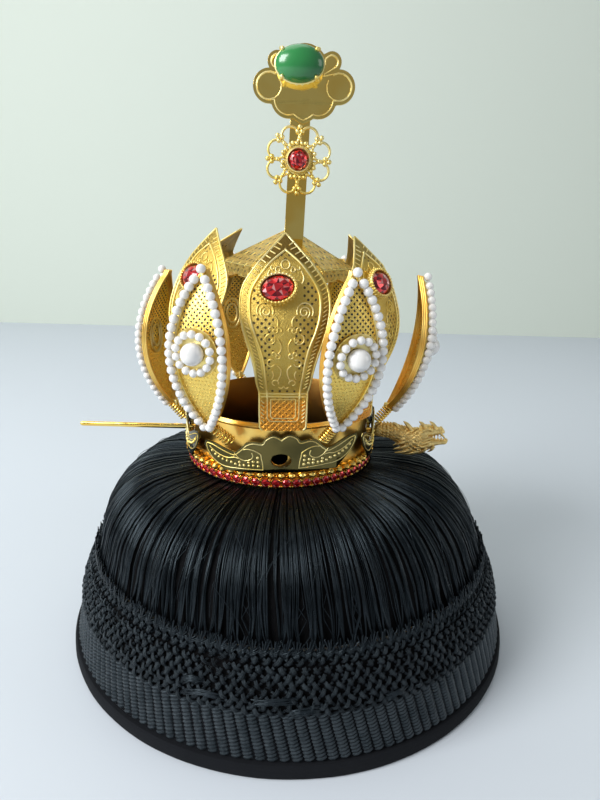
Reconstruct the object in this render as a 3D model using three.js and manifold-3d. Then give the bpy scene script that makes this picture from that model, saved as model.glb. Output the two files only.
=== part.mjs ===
// Lotus crown pinned on its horsehair cap. Millimetres, +Z up, the front faces -Y.
// The origin is on the floor, in the middle of the cap's rim.
import * as THREE from "three";
import { mergeVertices } from "three/addons/utils/BufferGeometryUtils.js";
import Module from "manifold-3d";

const wasm = await Module();
wasm.setup();

// ---- driving dimensions -------------------------------------------------------------

const GAP = 0.3; // between pieces that touch
const RIM_RADIUS = 114.4;
const CAP_OVAL = 0.012; // how far the cap is from round, as a share of its radius
const RIM_DEPTH = 0.012; // how much deeper than wide its rim is, as a share of its radius
const RIM_CORNERS = 0.03; // how far the rim's four soft corners stand out, likewise
const CORNERS_TOP = 56; // the height at which the corners have died away
const BAND_FOOT_RADIUS = 113.4; // the band of corded ribs leans in
const BAND_TOP_RADIUS = 110;
const OVAL_AZIMUTH = -25; // degrees from the front to the cap's long axis
const CAP_SEGMENTS = 40;
const CROWN_X = -7; // the crown sits a little to the left on the cap
const CROWN_SEGMENTS = 40;

const EDGING_TOP = 6;
const EDGING_BULGE = 0.4; // how far the felt edging stands out past the rim's radius
const EDGING_CHAMFER = 0.6;
const BAND_TOP = 25;
const NET_TOP = 47;
const CLOTH_WALL = 2.6;
const HAIR_WALL = 2.4;
const SHIFT_FROM = 84; // the height above which the hair turns to the crown's own axis
const TOPKNOT_RADIUS = 38; // the hole that the wearer's topknot comes up through

const RING_BOTTOM = 89.6;
const RING_TOP = 119;
const RING_FOOT_RADIUS = 44.6;
const RING_TOP_RADIUS = 44;
const RING_WALL = 1.2;
const SHEET = 0.8; // stamped sheet metal

const PIN_Z = 101.9;
const PIN_HOLE_RADIUS = 3.6;
const PIN_HOLE_Z = 102.5;
const SPARE_HOLE = { radius: 4, turn: 1.4, z: 103.6 }; // from front to back, behind the collar
const PIN_TIP_X = -104;
const PIN_HEAD_X = 49.6;

const PETAL_COUNT = 6;
const LEAN = 2; // degrees that the petals, roof and finial lean to the right

const PEARL = 3.9; // diameter of the pearls along a petal's edge
const RING_PEARL = 3.6;
const BIG_PEARL = 9.6;
const FLOWER_RING = 8.1; // radius of the ring of small pearls round the big one

// ---- materials ----------------------------------------------------------------------

const finish = (color, roughness, metalness) =>
  new THREE.MeshStandardMaterial({ color, roughness, metalness });
const blackFelt = finish(0x15161a, 0.95, 0);
const blackCord = finish(0x1a1c20, 0.8, 0);
const horsehair = finish(0x0e0f12, 0.4, 0);
const gold = finish(0xd8a53a, 0.25, 1);
const etchedGold = finish(0xcda54a, 0.4, 1);
const pearlFinish = finish(0xf2efe9, 0.25, 0);
const redGlass = finish(0xa80f1c, 0.08, 0);
const greenStone = finish(0x1f7a3c, 0.12, 0);

// ---- solids -------------------------------------------------------------------------

const radians = THREE.MathUtils.degToRad;
const UP = new THREE.Vector3(0, 0, 1);

/** The geometry with shared corners and positions only, and its faces pointing out. */
function closed(geometry) {
  geometry.deleteAttribute("normal");
  geometry.deleteAttribute("uv");
  const merged = mergeVertices(geometry, 1e-4);
  const position = merged.attributes.position;
  const index = merged.index.array;
  const [a, b, c] = [new THREE.Vector3(), new THREE.Vector3(), new THREE.Vector3()];
  const faces = [];
  let volume = 0;
  for (let i = 0; i < index.length; i += 3) {
    const corners = [index[i], index[i + 1], index[i + 2]];
    if (new Set(corners).size < 3) continue;
    faces.push(...corners);
    a.fromBufferAttribute(position, corners[0]);
    b.fromBufferAttribute(position, corners[1]);
    c.fromBufferAttribute(position, corners[2]);
    volume += a.dot(b.cross(c));
  }
  if (volume < 0) faces.reverse();
  merged.setIndex(faces);
  return merged;
}

function toSolid(geometry) {
  const clean = closed(geometry);
  const vertProperties = new Float32Array(clean.attributes.position.array);
  const triVerts = new Uint32Array(clean.index.array);
  return new wasm.Manifold(new wasm.Mesh({ numProp: 3, vertProperties, triVerts }));
}

function toGeometry(solid) {
  const mesh = solid.getMesh();
  const geometry = new THREE.BufferGeometry();
  geometry.setAttribute("position", new THREE.BufferAttribute(mesh.vertProperties, 3));
  geometry.setIndex(new THREE.BufferAttribute(mesh.triVerts, 1));
  return geometry;
}

/** One solid of several geometries that are soldered together. */
function soldered(...pieces) {
  return toGeometry(pieces.map(toSolid).reduce((whole, piece) => whole.add(piece)));
}

/** What is left of a geometry when the others are cut out of it. */
function cut(geometry, ...tools) {
  const subtract = (left, tool) => left.subtract(tool);
  return toGeometry(tools.map(toSolid).reduce(subtract, toSolid(geometry)));
}

/** A ring or round piece about Z; the profile is a list of [radius, z] and closes on itself. */
function turned(profile, segments) {
  const outline = profile.map(([radius, z]) => new THREE.Vector2(radius, z));
  if (profile[0][0] > 0) outline.push(outline[0].clone());
  return new THREE.LatheGeometry(outline, segments).rotateX(Math.PI / 2);
}

/** A sheet of even thickness; surface(across, up) gives its middle, both from 0 to 1. */
function sheet(surface, columns, rows, thickness) {
  const step = 0.01;
  const positions = [];
  for (const side of [-0.5, 0.5]) {
    for (let row = 0; row <= rows; row++) {
      for (let column = 0; column <= columns; column++) {
        const [u, v] = [column / columns, row / rows];
        const point = surface(u, v);
        const across = surface(Math.min(u + step, 1), v).sub(surface(Math.max(u - step, 0), v));
        const up = surface(u, Math.min(v + step, 1)).sub(surface(u, Math.max(v - step, 0)));
        point.addScaledVector(across.cross(up).normalize(), side * thickness);
        positions.push(...point.toArray());
      }
    }
  }
  const layer = (rows + 1) * (columns + 1);
  const at = (row, column, side = 0) => side * layer + row * (columns + 1) + column;
  const faces = [];
  const quad = (a, b, c, d) => faces.push(a, b, c, a, c, d);
  for (let row = 0; row < rows; row++) {
    for (let column = 0; column < columns; column++) {
      const ring = [at(row, column), at(row, column + 1), at(row + 1, column + 1), at(row + 1, column)];
      quad(...ring.toReversed());
      quad(...ring.map((corner) => corner + layer));
    }
    quad(at(row, 0), at(row, 0, 1), at(row + 1, 0, 1), at(row + 1, 0));
    quad(at(row + 1, columns), at(row + 1, columns, 1), at(row, columns, 1), at(row, columns));
  }
  for (let column = 0; column < columns; column++) {
    quad(at(0, column + 1), at(0, column + 1, 1), at(0, column, 1), at(0, column));
    quad(at(rows, column), at(rows, column, 1), at(rows, column + 1, 1), at(rows, column + 1));
  }
  const geometry = new THREE.BufferGeometry();
  geometry.setAttribute("position", new THREE.Float32BufferAttribute(positions, 3));
  geometry.setIndex(faces);
  return geometry;
}

/** A round wire or string along a curve. */
function wire(points, radius, steps, sides) {
  const section = new THREE.Shape();
  for (let side = 0; side < sides; side++) {
    const angle = (2 * Math.PI * side) / sides;
    const corner = [radius * Math.cos(angle), radius * Math.sin(angle)];
    if (side) section.lineTo(...corner);
    else section.moveTo(...corner);
  }
  const extrudePath = new THREE.CatmullRomCurve3(points);
  return new THREE.ExtrudeGeometry(section, { steps, extrudePath });
}

/** A body lofted along X; each section has x, z, high, wide and is a ring of corners. */
function lofted(sections, corners) {
  const positions = [];
  for (const { x, z, high, wide } of sections) {
    for (let corner = 0; corner < corners; corner++) {
      const angle = (2 * Math.PI * (corner + 0.5)) / corners;
      positions.push(x, (wide / 2) * Math.cos(angle), z + (high / 2) * Math.sin(angle));
    }
  }
  const faces = [];
  for (let ring = 0; ring < sections.length - 1; ring++) {
    for (let corner = 0; corner < corners; corner++) {
      const next = (corner + 1) % corners;
      const [a, b] = [ring * corners + corner, ring * corners + next];
      faces.push(a, b, b + corners, a, b + corners, a + corners);
    }
  }
  const last = (sections.length - 1) * corners;
  for (let corner = 1; corner < corners - 1; corner++) {
    faces.push(0, corner + 1, corner, last, last + corner, last + corner + 1);
  }
  const geometry = new THREE.BufferGeometry();
  geometry.setAttribute("position", new THREE.Float32BufferAttribute(positions, 3));
  geometry.setIndex(faces);
  return geometry;
}

/** A flat piece whose outline lies in X and Z, its middle at y = 0. */
function stamped(outline, thickness, holes = []) {
  const shape = new THREE.Shape(outline.map(([x, z]) => new THREE.Vector2(x, z)));
  shape.holes = holes.map((hole) => new THREE.Path(hole.map(([x, z]) => new THREE.Vector2(x, z))));
  const settings = { depth: thickness, bevelEnabled: false, steps: 1 };
  return new THREE.ExtrudeGeometry(shape, settings).rotateX(Math.PI / 2).translate(0, thickness / 2, 0);
}

/** The corners of an oval in a plane, as [x, z] pairs. */
function oval(halfWidth, halfHeight, count, x = 0, z = 0) {
  const corner = (_, i) => {
    const angle = (2 * Math.PI * i) / count;
    return [x + halfWidth * Math.cos(angle), z + halfHeight * Math.sin(angle)];
  };
  return Array.from({ length: count }, corner);
}

/** Reads a column of a table of sections at height z, straight between its rows. */
function between(table, z, column) {
  const last = table.length - 1;
  if (z <= table[0].z) return table[0][column];
  if (z >= table[last].z) return table[last][column];
  const above = table.findIndex((row) => row.z >= z);
  const [low, high] = [table[above - 1], table[above]];
  return THREE.MathUtils.mapLinear(z, low.z, high.z, low[column], high[column]);
}

function named(name, geometry, material) {
  const mesh = new THREE.Mesh(closed(geometry), material);
  mesh.name = name;
  return mesh;
}

// ---- cap ----------------------------------------------------------------------------

/** Gives a round piece the cap's oval and its rim's corners, and leads its top to the crown. */
function settled(geometry) {
  const position = geometry.attributes.position;
  for (let i = 0; i < position.count; i++) {
    const [x, y, z] = [position.getX(i), position.getY(i), position.getZ(i)];
    const rise = THREE.MathUtils.smoothstep(z, SHIFT_FROM, RING_BOTTOM);
    const low = 1 - THREE.MathUtils.smoothstep(z, 0, CORNERS_TOP);
    const azimuth = Math.atan2(x, -y);
    const oval = CAP_OVAL * Math.cos(2 * (azimuth - radians(OVAL_AZIMUTH))) * (1 - rise);
    const rim = RIM_DEPTH * Math.cos(2 * azimuth) + (RIM_CORNERS * (1 - Math.cos(4 * azimuth))) / 2;
    const swell = 1 + oval + rim * low;
    position.setXYZ(i, x * swell + CROWN_X * rise, y * swell, z);
  }
  return geometry;
}

/** A soft wall between two heights: the outer profile and the same line moved inwards. */
function softWall(outer, wall) {
  const inner = outer.map(([radius, z], i) => {
    const [r0, z0] = outer[Math.max(i - 1, 0)];
    const [r1, z1] = outer[Math.min(i + 1, outer.length - 1)];
    const length = Math.hypot(r1 - r0, z1 - z0);
    const inset = (wall * (z1 - z0)) / length;
    const drop = (wall * (r0 - r1)) / length;
    return [radius - inset, Math.max(z - drop, outer[0][1])];
  });
  return settled(turned([...outer, ...inner.toReversed()], CAP_SEGMENTS));
}

function makeEdging() {
  const outer = RIM_RADIUS + EDGING_BULGE;
  const inner = RIM_RADIUS - CLOTH_WALL;
  const profile = [
    [inner, 0],
    [outer - EDGING_CHAMFER, 0],
    [outer, 2 * EDGING_CHAMFER],
    [outer, EDGING_TOP],
    [inner, EDGING_TOP],
  ];
  return settled(turned(profile, CAP_SEGMENTS));
}

function makeCordBand() {
  const foot = [BAND_FOOT_RADIUS, EDGING_TOP + GAP];
  return softWall([foot, [BAND_TOP_RADIUS, BAND_TOP]], CLOTH_WALL);
}

const NET_PROFILE = [
  [BAND_TOP_RADIUS, BAND_TOP + GAP],
  [108.4, 32],
  [105.4, 39.5],
  [101.2, NET_TOP - GAP],
];

const HAIR_PROFILE = [
  [99.4, NET_TOP],
  [97.6, 56],
  [95, 64.5],
  [90.4, 72.5],
  [83.8, 79.6],
  [74.6, 85.2],
  [61, 88.2],
  [TOPKNOT_RADIUS, RING_BOTTOM - GAP],
];

// ---- crown ring, its stones and its collar --------------------------------------------

function ringRadius(z) {
  return THREE.MathUtils.mapLinear(z, RING_BOTTOM, RING_TOP, RING_FOOT_RADIUS, RING_TOP_RADIUS);
}

function makeRing() {
  const profile = [
    [ringRadius(RING_BOTTOM), RING_BOTTOM],
    [ringRadius(RING_TOP), RING_TOP],
    [ringRadius(RING_TOP) - RING_WALL, RING_TOP],
    [ringRadius(RING_BOTTOM) - RING_WALL, RING_BOTTOM],
  ];
  const drill = (radius) => new THREE.CylinderGeometry(radius, radius, 3 * RING_FOOT_RADIUS, 14);
  const { radius, turn, z } = SPARE_HOLE;
  const alongY = drill(radius).rotateZ(radians(turn)).translate(0, 0, z);
  const alongX = drill(PIN_HOLE_RADIUS).rotateZ(Math.PI / 2).translate(0, 0, PIN_HOLE_Z);
  return cut(turned(profile, CROWN_SEGMENTS), alongX, alongY);
}

// The stone trim's section, out from its inner face and up from the ring's foot.
const TRIM_SECTION = [
  { out: 0, up: 0.2 },
  { out: 1.8, up: 0.2 },
  { out: 2.4, up: 2 },
  { out: 1.8, up: 3.8 },
  { out: 1.9, up: 6 },
  { out: 1.2, up: 6.9 },
  { out: 0, up: 6.9 },
];
const TRIM_TOP = RING_BOTTOM + TRIM_SECTION.at(-1).up;

function makeStoneTrim() {
  const inner = RING_FOOT_RADIUS + GAP;
  const profile = TRIM_SECTION.map(({ out, up }) => [inner + out, RING_BOTTOM + up]);
  return turned(profile, CROWN_SEGMENTS);
}

// Half of a collar plate's upper edge, from the wing's tip to the notch in the middle.
const COLLAR_EDGE = [
  { azimuth: 40, z: 104.8 },
  { azimuth: 43, z: 109.4 },
  { azimuth: 42, z: 111.8 },
  { azimuth: 37, z: 111.2 },
  { azimuth: 30, z: 108.6 },
  { azimuth: 25, z: 107.2 },
  { azimuth: 22, z: 109.2 },
  { azimuth: 19, z: 111.9 },
  { azimuth: 15, z: 112.6 },
  { azimuth: 10.5, z: 112 },
  { azimuth: 8.5, z: 114.2 },
  { azimuth: 4.6, z: 115.7 },
  { azimuth: 2, z: 115 },
  { azimuth: 0, z: 113.9 },
];
const COLLAR_FOOT = { azimuth: 31, z: TRIM_TOP + GAP };
const COLLAR_RADIUS = 47.3; // in the middle of a plate
const COLLAR_HALF = 43; // degrees from a plate's middle to its wing tip
const COLLAR_FLARE = 3.6; // how much further out the wings stand than the middle
const COLLAR_TURN = 2.6; // degrees that the collar is turned on the ring
// The plates, how far each is tipped in its own face, right end up, and its hole's middle.
const COLLAR_PLACES = [
  { place: "front", tip: 3.5, moonZ: 103.3 },
  { place: "right", tip: 0, moonZ: 102.2 },
  { place: "back", tip: 0, moonZ: 103.3 },
  { place: "left", tip: 0, moonZ: 102.2 },
];
const COLLAR_BLANK = { half: 46, foot: 95, top: 118 }; // the bent strip that a plate is cut from
const PUNCH = { depth: 60, y: -50 };
const MOON = { halfWidth: 4.6, halfHeight: 3.2 }; // the oval hole in each plate

/** How far a collar plate stands from the axis, by degrees from the plate's middle. */
function collarRadius(azimuth) {
  return COLLAR_RADIUS + COLLAR_FLARE * (azimuth / COLLAR_HALF) ** 2;
}

function makeCollarPlate({ tip, moonZ }) {
  const place = (azimuth) => {
    const [angle, radius] = [radians(azimuth), collarRadius(azimuth)];
    return [radius * Math.sin(angle), -radius * Math.cos(angle)];
  };
  const wall = (across, up) => {
    const { half, foot, top } = COLLAR_BLANK;
    return new THREE.Vector3(...place(half * (2 * across - 1)), THREE.MathUtils.lerp(foot, top, up));
  };
  const corner = ({ azimuth, z }) => [place(azimuth)[0], z];
  const tipped = ([x, z]) => [x, Math.max(z + x * Math.tan(radians(tip)), TRIM_TOP + GAP)];
  const right = [COLLAR_FOOT, ...COLLAR_EDGE].map(corner);
  const left = right.slice(0, -1).map(([x, z]) => [-x, z]);
  const outline = [...right, ...left.toReversed()].map(tipped);
  const moon = oval(MOON.halfWidth, MOON.halfHeight, 16, 0, moonZ);
  const punch = stamped(outline, PUNCH.depth, [moon]).translate(0, PUNCH.y, 0);
  return toGeometry(toSolid(sheet(wall, 14, 1, SHEET)).intersect(toSolid(punch)));
}

// ---- inner petals ---------------------------------------------------------------------

const INNER_PETAL = [
  { z: 116.8, radius: 45.6, halfWidth: 9.2 },
  { z: 118, radius: 45.6, halfWidth: 10.4 },
  { z: 134, radius: 45.2, halfWidth: 10.6 },
  { z: 138.5, radius: 47.4, halfWidth: 11.7 },
  { z: 144, radius: 50, halfWidth: 12.4 },
  { z: 151, radius: 52.3, halfWidth: 13.9 },
  { z: 158, radius: 53, halfWidth: 16.1 },
  { z: 165, radius: 52, halfWidth: 18 },
  { z: 172, radius: 49.6, halfWidth: 18.8 },
  { z: 180, radius: 46.2, halfWidth: 17.3 },
  { z: 188.6, radius: 42.6, halfWidth: 11.4 },
  { z: 200.3, radius: 33.8, halfWidth: 0.4 },
];
const PETAL_CURVE_RADIUS = 60; // how each petal is rounded from side to side
const INNER_PLACES = [
  { azimuth: 3.2, lean: 0, twist: 0, tipRadius: 33.8, stoneAcross: -3.2, stoneTurn: 15, stoneZ: 178 },
  { azimuth: 59.5, lean: LEAN, twist: -12, tipRadius: 32.5, stoneAcross: 0, stoneTurn: 0, stoneZ: 180.4 },
  { azimuth: 120, lean: LEAN, twist: 0, tipRadius: 34, stoneAcross: 0, stoneTurn: 0, stoneZ: 180.4 },
  { azimuth: 180, lean: LEAN, twist: 0, tipRadius: 33, stoneAcross: 0, stoneTurn: 0, stoneZ: 180.4 },
  { azimuth: -120, lean: LEAN, twist: 0, tipRadius: 28, stoneAcross: 0, stoneTurn: 0, stoneZ: 180.4 },
  { azimuth: -56, lean: LEAN, twist: 14, tipRadius: 37, stoneAcross: 0, stoneTurn: 0, stoneZ: 178.6 },
];
// Between these heights a petal turns by its twist, in degrees, about an upright axis in it.
const TWIST = { from: 134, to: 172, radius: 47 };
const STONE = { halfWidth: 6.7, halfHeight: 5.2, lift: 1.2, height: 4, tilt: 23 };
const BEZEL = { wall: 1, foot: -0.9, top: 4 };
const OVAL_CORNERS = 12;

/** Turns a piece that faces up (+Z) to face out of a petal at its stone, and moves it there. */
function ontoPetal(geometry, { stoneAcross, stoneTurn, stoneZ, twist }) {
  return geometry
    .rotateZ(radians(stoneTurn))
    .rotateX(Math.PI / 2 - radians(STONE.tilt))
    .translate(stoneAcross, TWIST.radius - between(INNER_PETAL, stoneZ, "radius"), stoneZ)
    .rotateZ(radians(twist))
    .translate(0, -TWIST.radius, 0);
}

/** An oval wall round the Z axis, from its inner half sizes and from low to high. */
function ovalTube(halfWidth, halfHeight, wall, low, high) {
  const corners = (grow) =>
    oval(halfWidth + grow, halfHeight + grow, OVAL_CORNERS).map(([x, y]) => new THREE.Vector2(x, y));
  const shape = new THREE.Shape(corners(wall));
  shape.holes = [new THREE.Path(corners(0))];
  const settings = { depth: high - low, bevelEnabled: false };
  return new THREE.ExtrudeGeometry(shape, settings).translate(0, 0, low);
}

function makeInnerPetal(petal) {
  const rows = INNER_PETAL.length - 1;
  const sections = INNER_PETAL.with(rows, { ...INNER_PETAL[rows], radius: petal.tipRadius });
  const surface = (across, up) => {
    const row = Math.min(Math.floor(up * rows), rows - 1);
    const part = up * rows - row;
    const [low, high] = [sections[row], sections[row + 1]];
    const mix = (column) => THREE.MathUtils.lerp(low[column], high[column], part);
    const x = mix("halfWidth") * (2 * across - 1);
    const z = mix("z");
    const y = TWIST.radius - mix("radius") + (x * x) / (2 * PETAL_CURVE_RADIUS);
    const turn = radians(petal.twist) * THREE.MathUtils.smoothstep(z, TWIST.from, TWIST.to);
    return new THREE.Vector3(x, y, z).applyAxisAngle(UP, turn).sub(new THREE.Vector3(0, TWIST.radius, 0));
  };
  const { halfWidth, halfHeight } = STONE;
  const bezel = ovalTube(halfWidth + GAP, halfHeight + GAP, BEZEL.wall, BEZEL.foot, BEZEL.top);
  return soldered(sheet(surface, 4, rows, SHEET), ontoPetal(bezel, petal));
}

// A faceted stone's section: shares of its height and of its half width.
const STONE_SECTION = [
  { up: 0, wide: 0 },
  { up: 0, wide: 0.55 },
  { up: 0.55, wide: 1 },
  { up: 1, wide: 0.6 },
  { up: 1, wide: 0 },
];

function makePetalStone(petal) {
  const profile = STONE_SECTION.map(({ up, wide }) => [wide, STONE.lift + up * STONE.height]);
  const stone = turned(profile, OVAL_CORNERS).scale(STONE.halfWidth, STONE.halfHeight, 1);
  return ontoPetal(stone, petal);
}

// ---- roof and finial --------------------------------------------------------------------

const ROOF = { apex: 202, cornerRadius: 31.5, eaves: 185.3, rimRadius: 33.3, rimFoot: 180.6 };
const ROOF_SLOPE = (ROOF.apex - ROOF.eaves) / (ROOF.cornerRadius * Math.cos(Math.PI / 6));
// The tabs that join the roof's rim to the petals' inner faces.
const TAB_WIDTH = 8;
const TAB_SECTION = [
  { radius: 27.8, z: 181.8 },
  { radius: 45.9, z: 176.8 },
  { radius: 47.2, z: 172 },
  { radius: 46.4, z: 171.7 },
  { radius: 45.2, z: 176 },
  { radius: 27.8, z: 180.9 },
];

function makeRoof() {
  const { apex, cornerRadius, eaves, rimRadius, rimFoot } = ROOF;
  const profile = [
    [0, apex],
    [cornerRadius, eaves],
    [rimRadius, rimFoot],
    [rimRadius - SHEET, rimFoot],
    [cornerRadius - SHEET, eaves - 0.5],
    [0, apex - 1],
  ];
  const pyramid = turned(profile, PETAL_COUNT).rotateZ(Math.PI / 6);
  const tab = stamped(TAB_SECTION.map(({ radius, z }) => [radius, z]), TAB_WIDTH).rotateZ(-Math.PI / 2);
  const tabs = INNER_PLACES.map(({ azimuth }) => tab.clone().rotateZ(radians(azimuth)));
  return soldered(pyramid, ...tabs);
}

const STRAP = { x: 2.2, width: 8.8, footY: -23, y: -7.4, bend: 212, top: 270 };

/** A flat strap that lies on the front of the roof, bends and stands up. */
function makeStrap() {
  const lift = (SHEET / 2 + GAP + 0.1) * Math.hypot(1, ROOF_SLOPE);
  const onRoof = (y) => [y, ROOF.apex + ROOF_SLOPE * y + lift];
  const line = [
    onRoof(STRAP.footY),
    onRoof(STRAP.y - 1),
    [STRAP.y, STRAP.bend],
    [STRAP.y, STRAP.top],
  ];
  const surface = (across, up) => {
    const place = Math.min(Math.floor(up * 3), 2);
    const [start, end] = [line[place], line[place + 1]];
    const part = up * 3 - place;
    const [y, z] = [0, 1].map((axis) => THREE.MathUtils.lerp(start[axis], end[axis], part));
    return new THREE.Vector3(STRAP.x + STRAP.width * (across - 0.5), y, z);
  };
  return sheet(surface, 1, 3, SHEET);
}

const FLOWER = { x: 2.4, z: 231.5, heart: 7.2, thick: 1.6, cupWall: 1, cupDepth: 3.2 };
const FLOWER_LOOPS = { count: 8, ring: 10.3, radius: 4.4, wire: 1.1 };
const FLOWER_STONE_RADIUS = 4.3;
const FLOWER_Y = STRAP.y - SHEET / 2 - GAP - FLOWER.thick / 2;

function makeFlower() {
  const { count, ring, radius, wire } = FLOWER_LOOPS;
  const hole = oval(radius - wire, radius - wire, 8);
  const loop = stamped(oval(radius, radius, 10), FLOWER.thick, [hole]).translate(ring, 0, 0);
  const place = (_, i) => loop.clone().rotateY(((i + 0.5) * 2 * Math.PI) / count);
  const heart = stamped(oval(FLOWER.heart, FLOWER.heart, 16), FLOWER.thick);
  const bore = FLOWER_STONE_RADIUS + GAP;
  const cup = ovalTube(bore, bore, FLOWER.cupWall, 0, FLOWER.cupDepth).rotateX(Math.PI / 2);
  const flower = soldered(heart, ...Array.from({ length: count }, place), cup);
  return flower.translate(FLOWER.x, FLOWER_Y, FLOWER.z);
}

function makeFlowerStone() {
  const back = FLOWER.thick / 2 + GAP;
  const profile = [[0, back], [FLOWER_STONE_RADIUS, back], [4.1, 2.6], [2.8, 3.8], [0, 4.2]];
  return turned(profile, 14).rotateX(Math.PI / 2).translate(FLOWER.x, FLOWER_Y, FLOWER.z);
}

// The cloud-shaped plate is the outline round these discs, seen from its middle.
const CLOUD = { x: 3, z: 262.6, thick: 1.2, turn: -2 };
const CLOUD_LOBES = [
  { x: 0, z: 5, radius: 10.2 },
  { x: 11.6, z: 8.2, radius: 4.2 },
  { x: -11.6, z: 8.2, radius: 4.2 },
  { x: 15, z: -1.4, radius: 7 },
  { x: -15, z: -1.4, radius: 7 },
  { x: 6.4, z: -6.4, radius: 7.8 },
  { x: -6.4, z: -6.4, radius: 7.8 },
];
const CLOUD_POINT = { reach: 16, spread: 8, within: 0.3 };
const CLOUD_CORNERS = 52;
const CLOUD_Y = STRAP.y - SHEET / 2 - GAP - CLOUD.thick / 2;
const CABOCHON = { x: -2, z: 5.6, halfWidth: 10.2, halfHeight: 7.4, lift: 7.4, height: 5.6 };
// The basket under the cabochon: shares of the stone's half sizes, and four round prongs.
const BASKET = { foot: 0.72, mouth: 1, wall: 0.14, clear: 0.4 };
const PRONG = [
  { share: 0.56, high: 3 },
  { share: 0.84, high: 6.8 },
  { share: 0.86, high: 9.2 },
];
const PRONG_RADIUS = 0.7;

/** How far the cloud's edge is from its middle in one direction. */
function cloudReach(angle) {
  const [x, z] = [Math.cos(angle), Math.sin(angle)];
  const reaches = CLOUD_LOBES.map((lobe) => {
    const along = lobe.x * x + lobe.z * z;
    const inside = lobe.radius ** 2 - lobe.x ** 2 - lobe.z ** 2 + along ** 2;
    return inside > 0 ? along + Math.sqrt(inside) : 0;
  });
  const drop = Math.abs(angle + Math.PI / 2);
  const point = CLOUD_POINT.reach - Math.tan(drop) * CLOUD_POINT.spread;
  return Math.max(...reaches, drop < CLOUD_POINT.within ? point : 0);
}

/** Moves what is made round the cloud's middle to its place on the strap. */
function ontoFinial(geometry) {
  return geometry.rotateY(radians(CLOUD.turn)).translate(CLOUD.x, CLOUD_Y, CLOUD.z);
}

/** The open basket that holds the cabochon up, facing +Z. */
function makeBasket() {
  const { halfWidth, halfHeight, lift } = CABOCHON;
  const { foot, mouth, wall, clear } = BASKET;
  const cone = (grow, height, low) =>
    new THREE.CylinderGeometry(mouth + grow, foot + grow, height, OVAL_CORNERS)
      .rotateX(Math.PI / 2)
      .translate(0, 0, low + height / 2);
  return cut(cone(0, lift - clear, 0), cone(-wall, lift, 1)).scale(halfWidth, halfHeight, 1);
}

function makeProngs() {
  const { halfWidth, halfHeight } = CABOCHON;
  const corners = [[1, 1], [1, -1], [-1, 1], [-1, -1]];
  return corners.map(([sideX, sideZ]) => {
    const points = PRONG.map(({ share, high }) =>
      new THREE.Vector3(sideX * share * halfWidth, sideZ * share * halfHeight, high));
    return wire(points, PRONG_RADIUS, 4, 6);
  });
}

function makeCloudPlate() {
  const corner = (_, i) => {
    const angle = -Math.PI / 2 + (2 * Math.PI * i) / CLOUD_CORNERS;
    const reach = cloudReach(angle > Math.PI ? angle - 2 * Math.PI : angle);
    return [reach * Math.cos(angle), reach * Math.sin(angle)];
  };
  const plate = stamped(Array.from({ length: CLOUD_CORNERS }, corner), CLOUD.thick);
  const setting = [makeBasket(), ...makeProngs()].map((piece) =>
    piece.rotateX(Math.PI / 2).translate(CABOCHON.x, 0, CABOCHON.z));
  return ontoFinial(soldered(plate, ...setting));
}

function makeCabochon() {
  const { halfWidth, halfHeight, lift, height } = CABOCHON;
  const profile = [[0, 0], [0.92, 0]];
  for (const angle of [10, 35, 60]) {
    profile.push([Math.cos(radians(angle)), 0.6 + (height - 0.6) * Math.sin(radians(angle))]);
  }
  profile.push([0, height]);
  const stone = turned(profile, 16)
    .scale(halfWidth, halfHeight, 1)
    .translate(0, 0, lift)
    .rotateX(Math.PI / 2)
    .translate(CABOCHON.x, 0, CABOCHON.z);
  return ontoFinial(stone);
}

// ---- outer petals on their springs ----------------------------------------------------------

// Each spring stands on the collar at solder degrees from the front.
const OUTER_PETALS = [
  { place: "front_left", azimuth: -32, solder: -24, footRadius: 54.5, footZ: 117, lean: 2.5, turn: 10 },
  { place: "front_right", azimuth: 29, solder: 24, footRadius: 52.5, footZ: 118.6, lean: 8.5, turn: -4 },
  { place: "right", azimuth: 91, solder: 91, footRadius: 55.4, footZ: 113.4, lean: 10, turn: -4 },
  { place: "back_right", azimuth: 149, solder: 157, footRadius: 54, footZ: 117, lean: 6, turn: 0 },
  { place: "back_left", azimuth: -151, solder: -155, footRadius: 54, footZ: 117, lean: 4, turn: 0 },
  { place: "left", azimuth: -93, solder: -93, footRadius: 56, footZ: 112, lean: 0.8, turn: -17 },
];
const OUTER = { length: 69, halfWidth: 12.4, endHalfWidth: 0.8, bow: 7.4, dish: 1.6, flowerUp: 0.53 };
const SPRING = { turns: 4.5, stepsPerTurn: 7, radius: 2.1, wire: 0.5, drop: 6, clear: 2.4 };
const SPRING_END = { out: 0.6, up: 1.6 }; // where a spring ends, from its petal's foot
const LUG = { width: 2.4, depth: 3.7, height: 3.4, y: 0.9, z: 1.8 };

/** The middle of an outer petal's sheet, its foot at the origin and its chord along +Z. */
function outerSurface(side, up) {
  const lens = 4 * up * (1 - up);
  const halfWidth = Math.max(OUTER.halfWidth * lens, OUTER.endHalfWidth);
  const dish = OUTER.dish * lens * (1 - side * side);
  return new THREE.Vector3(halfWidth * side, -OUTER.bow * lens - dish, OUTER.length * up);
}

/** Leans, turns and moves what is made on an outer petal's surface to the petal's place. */
function ontoOuterPetal(geometry, petal) {
  return geometry
    .rotateX(radians(petal.lean))
    .rotateZ(radians(petal.turn))
    .translate(0, -petal.footRadius, petal.footZ);
}

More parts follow.
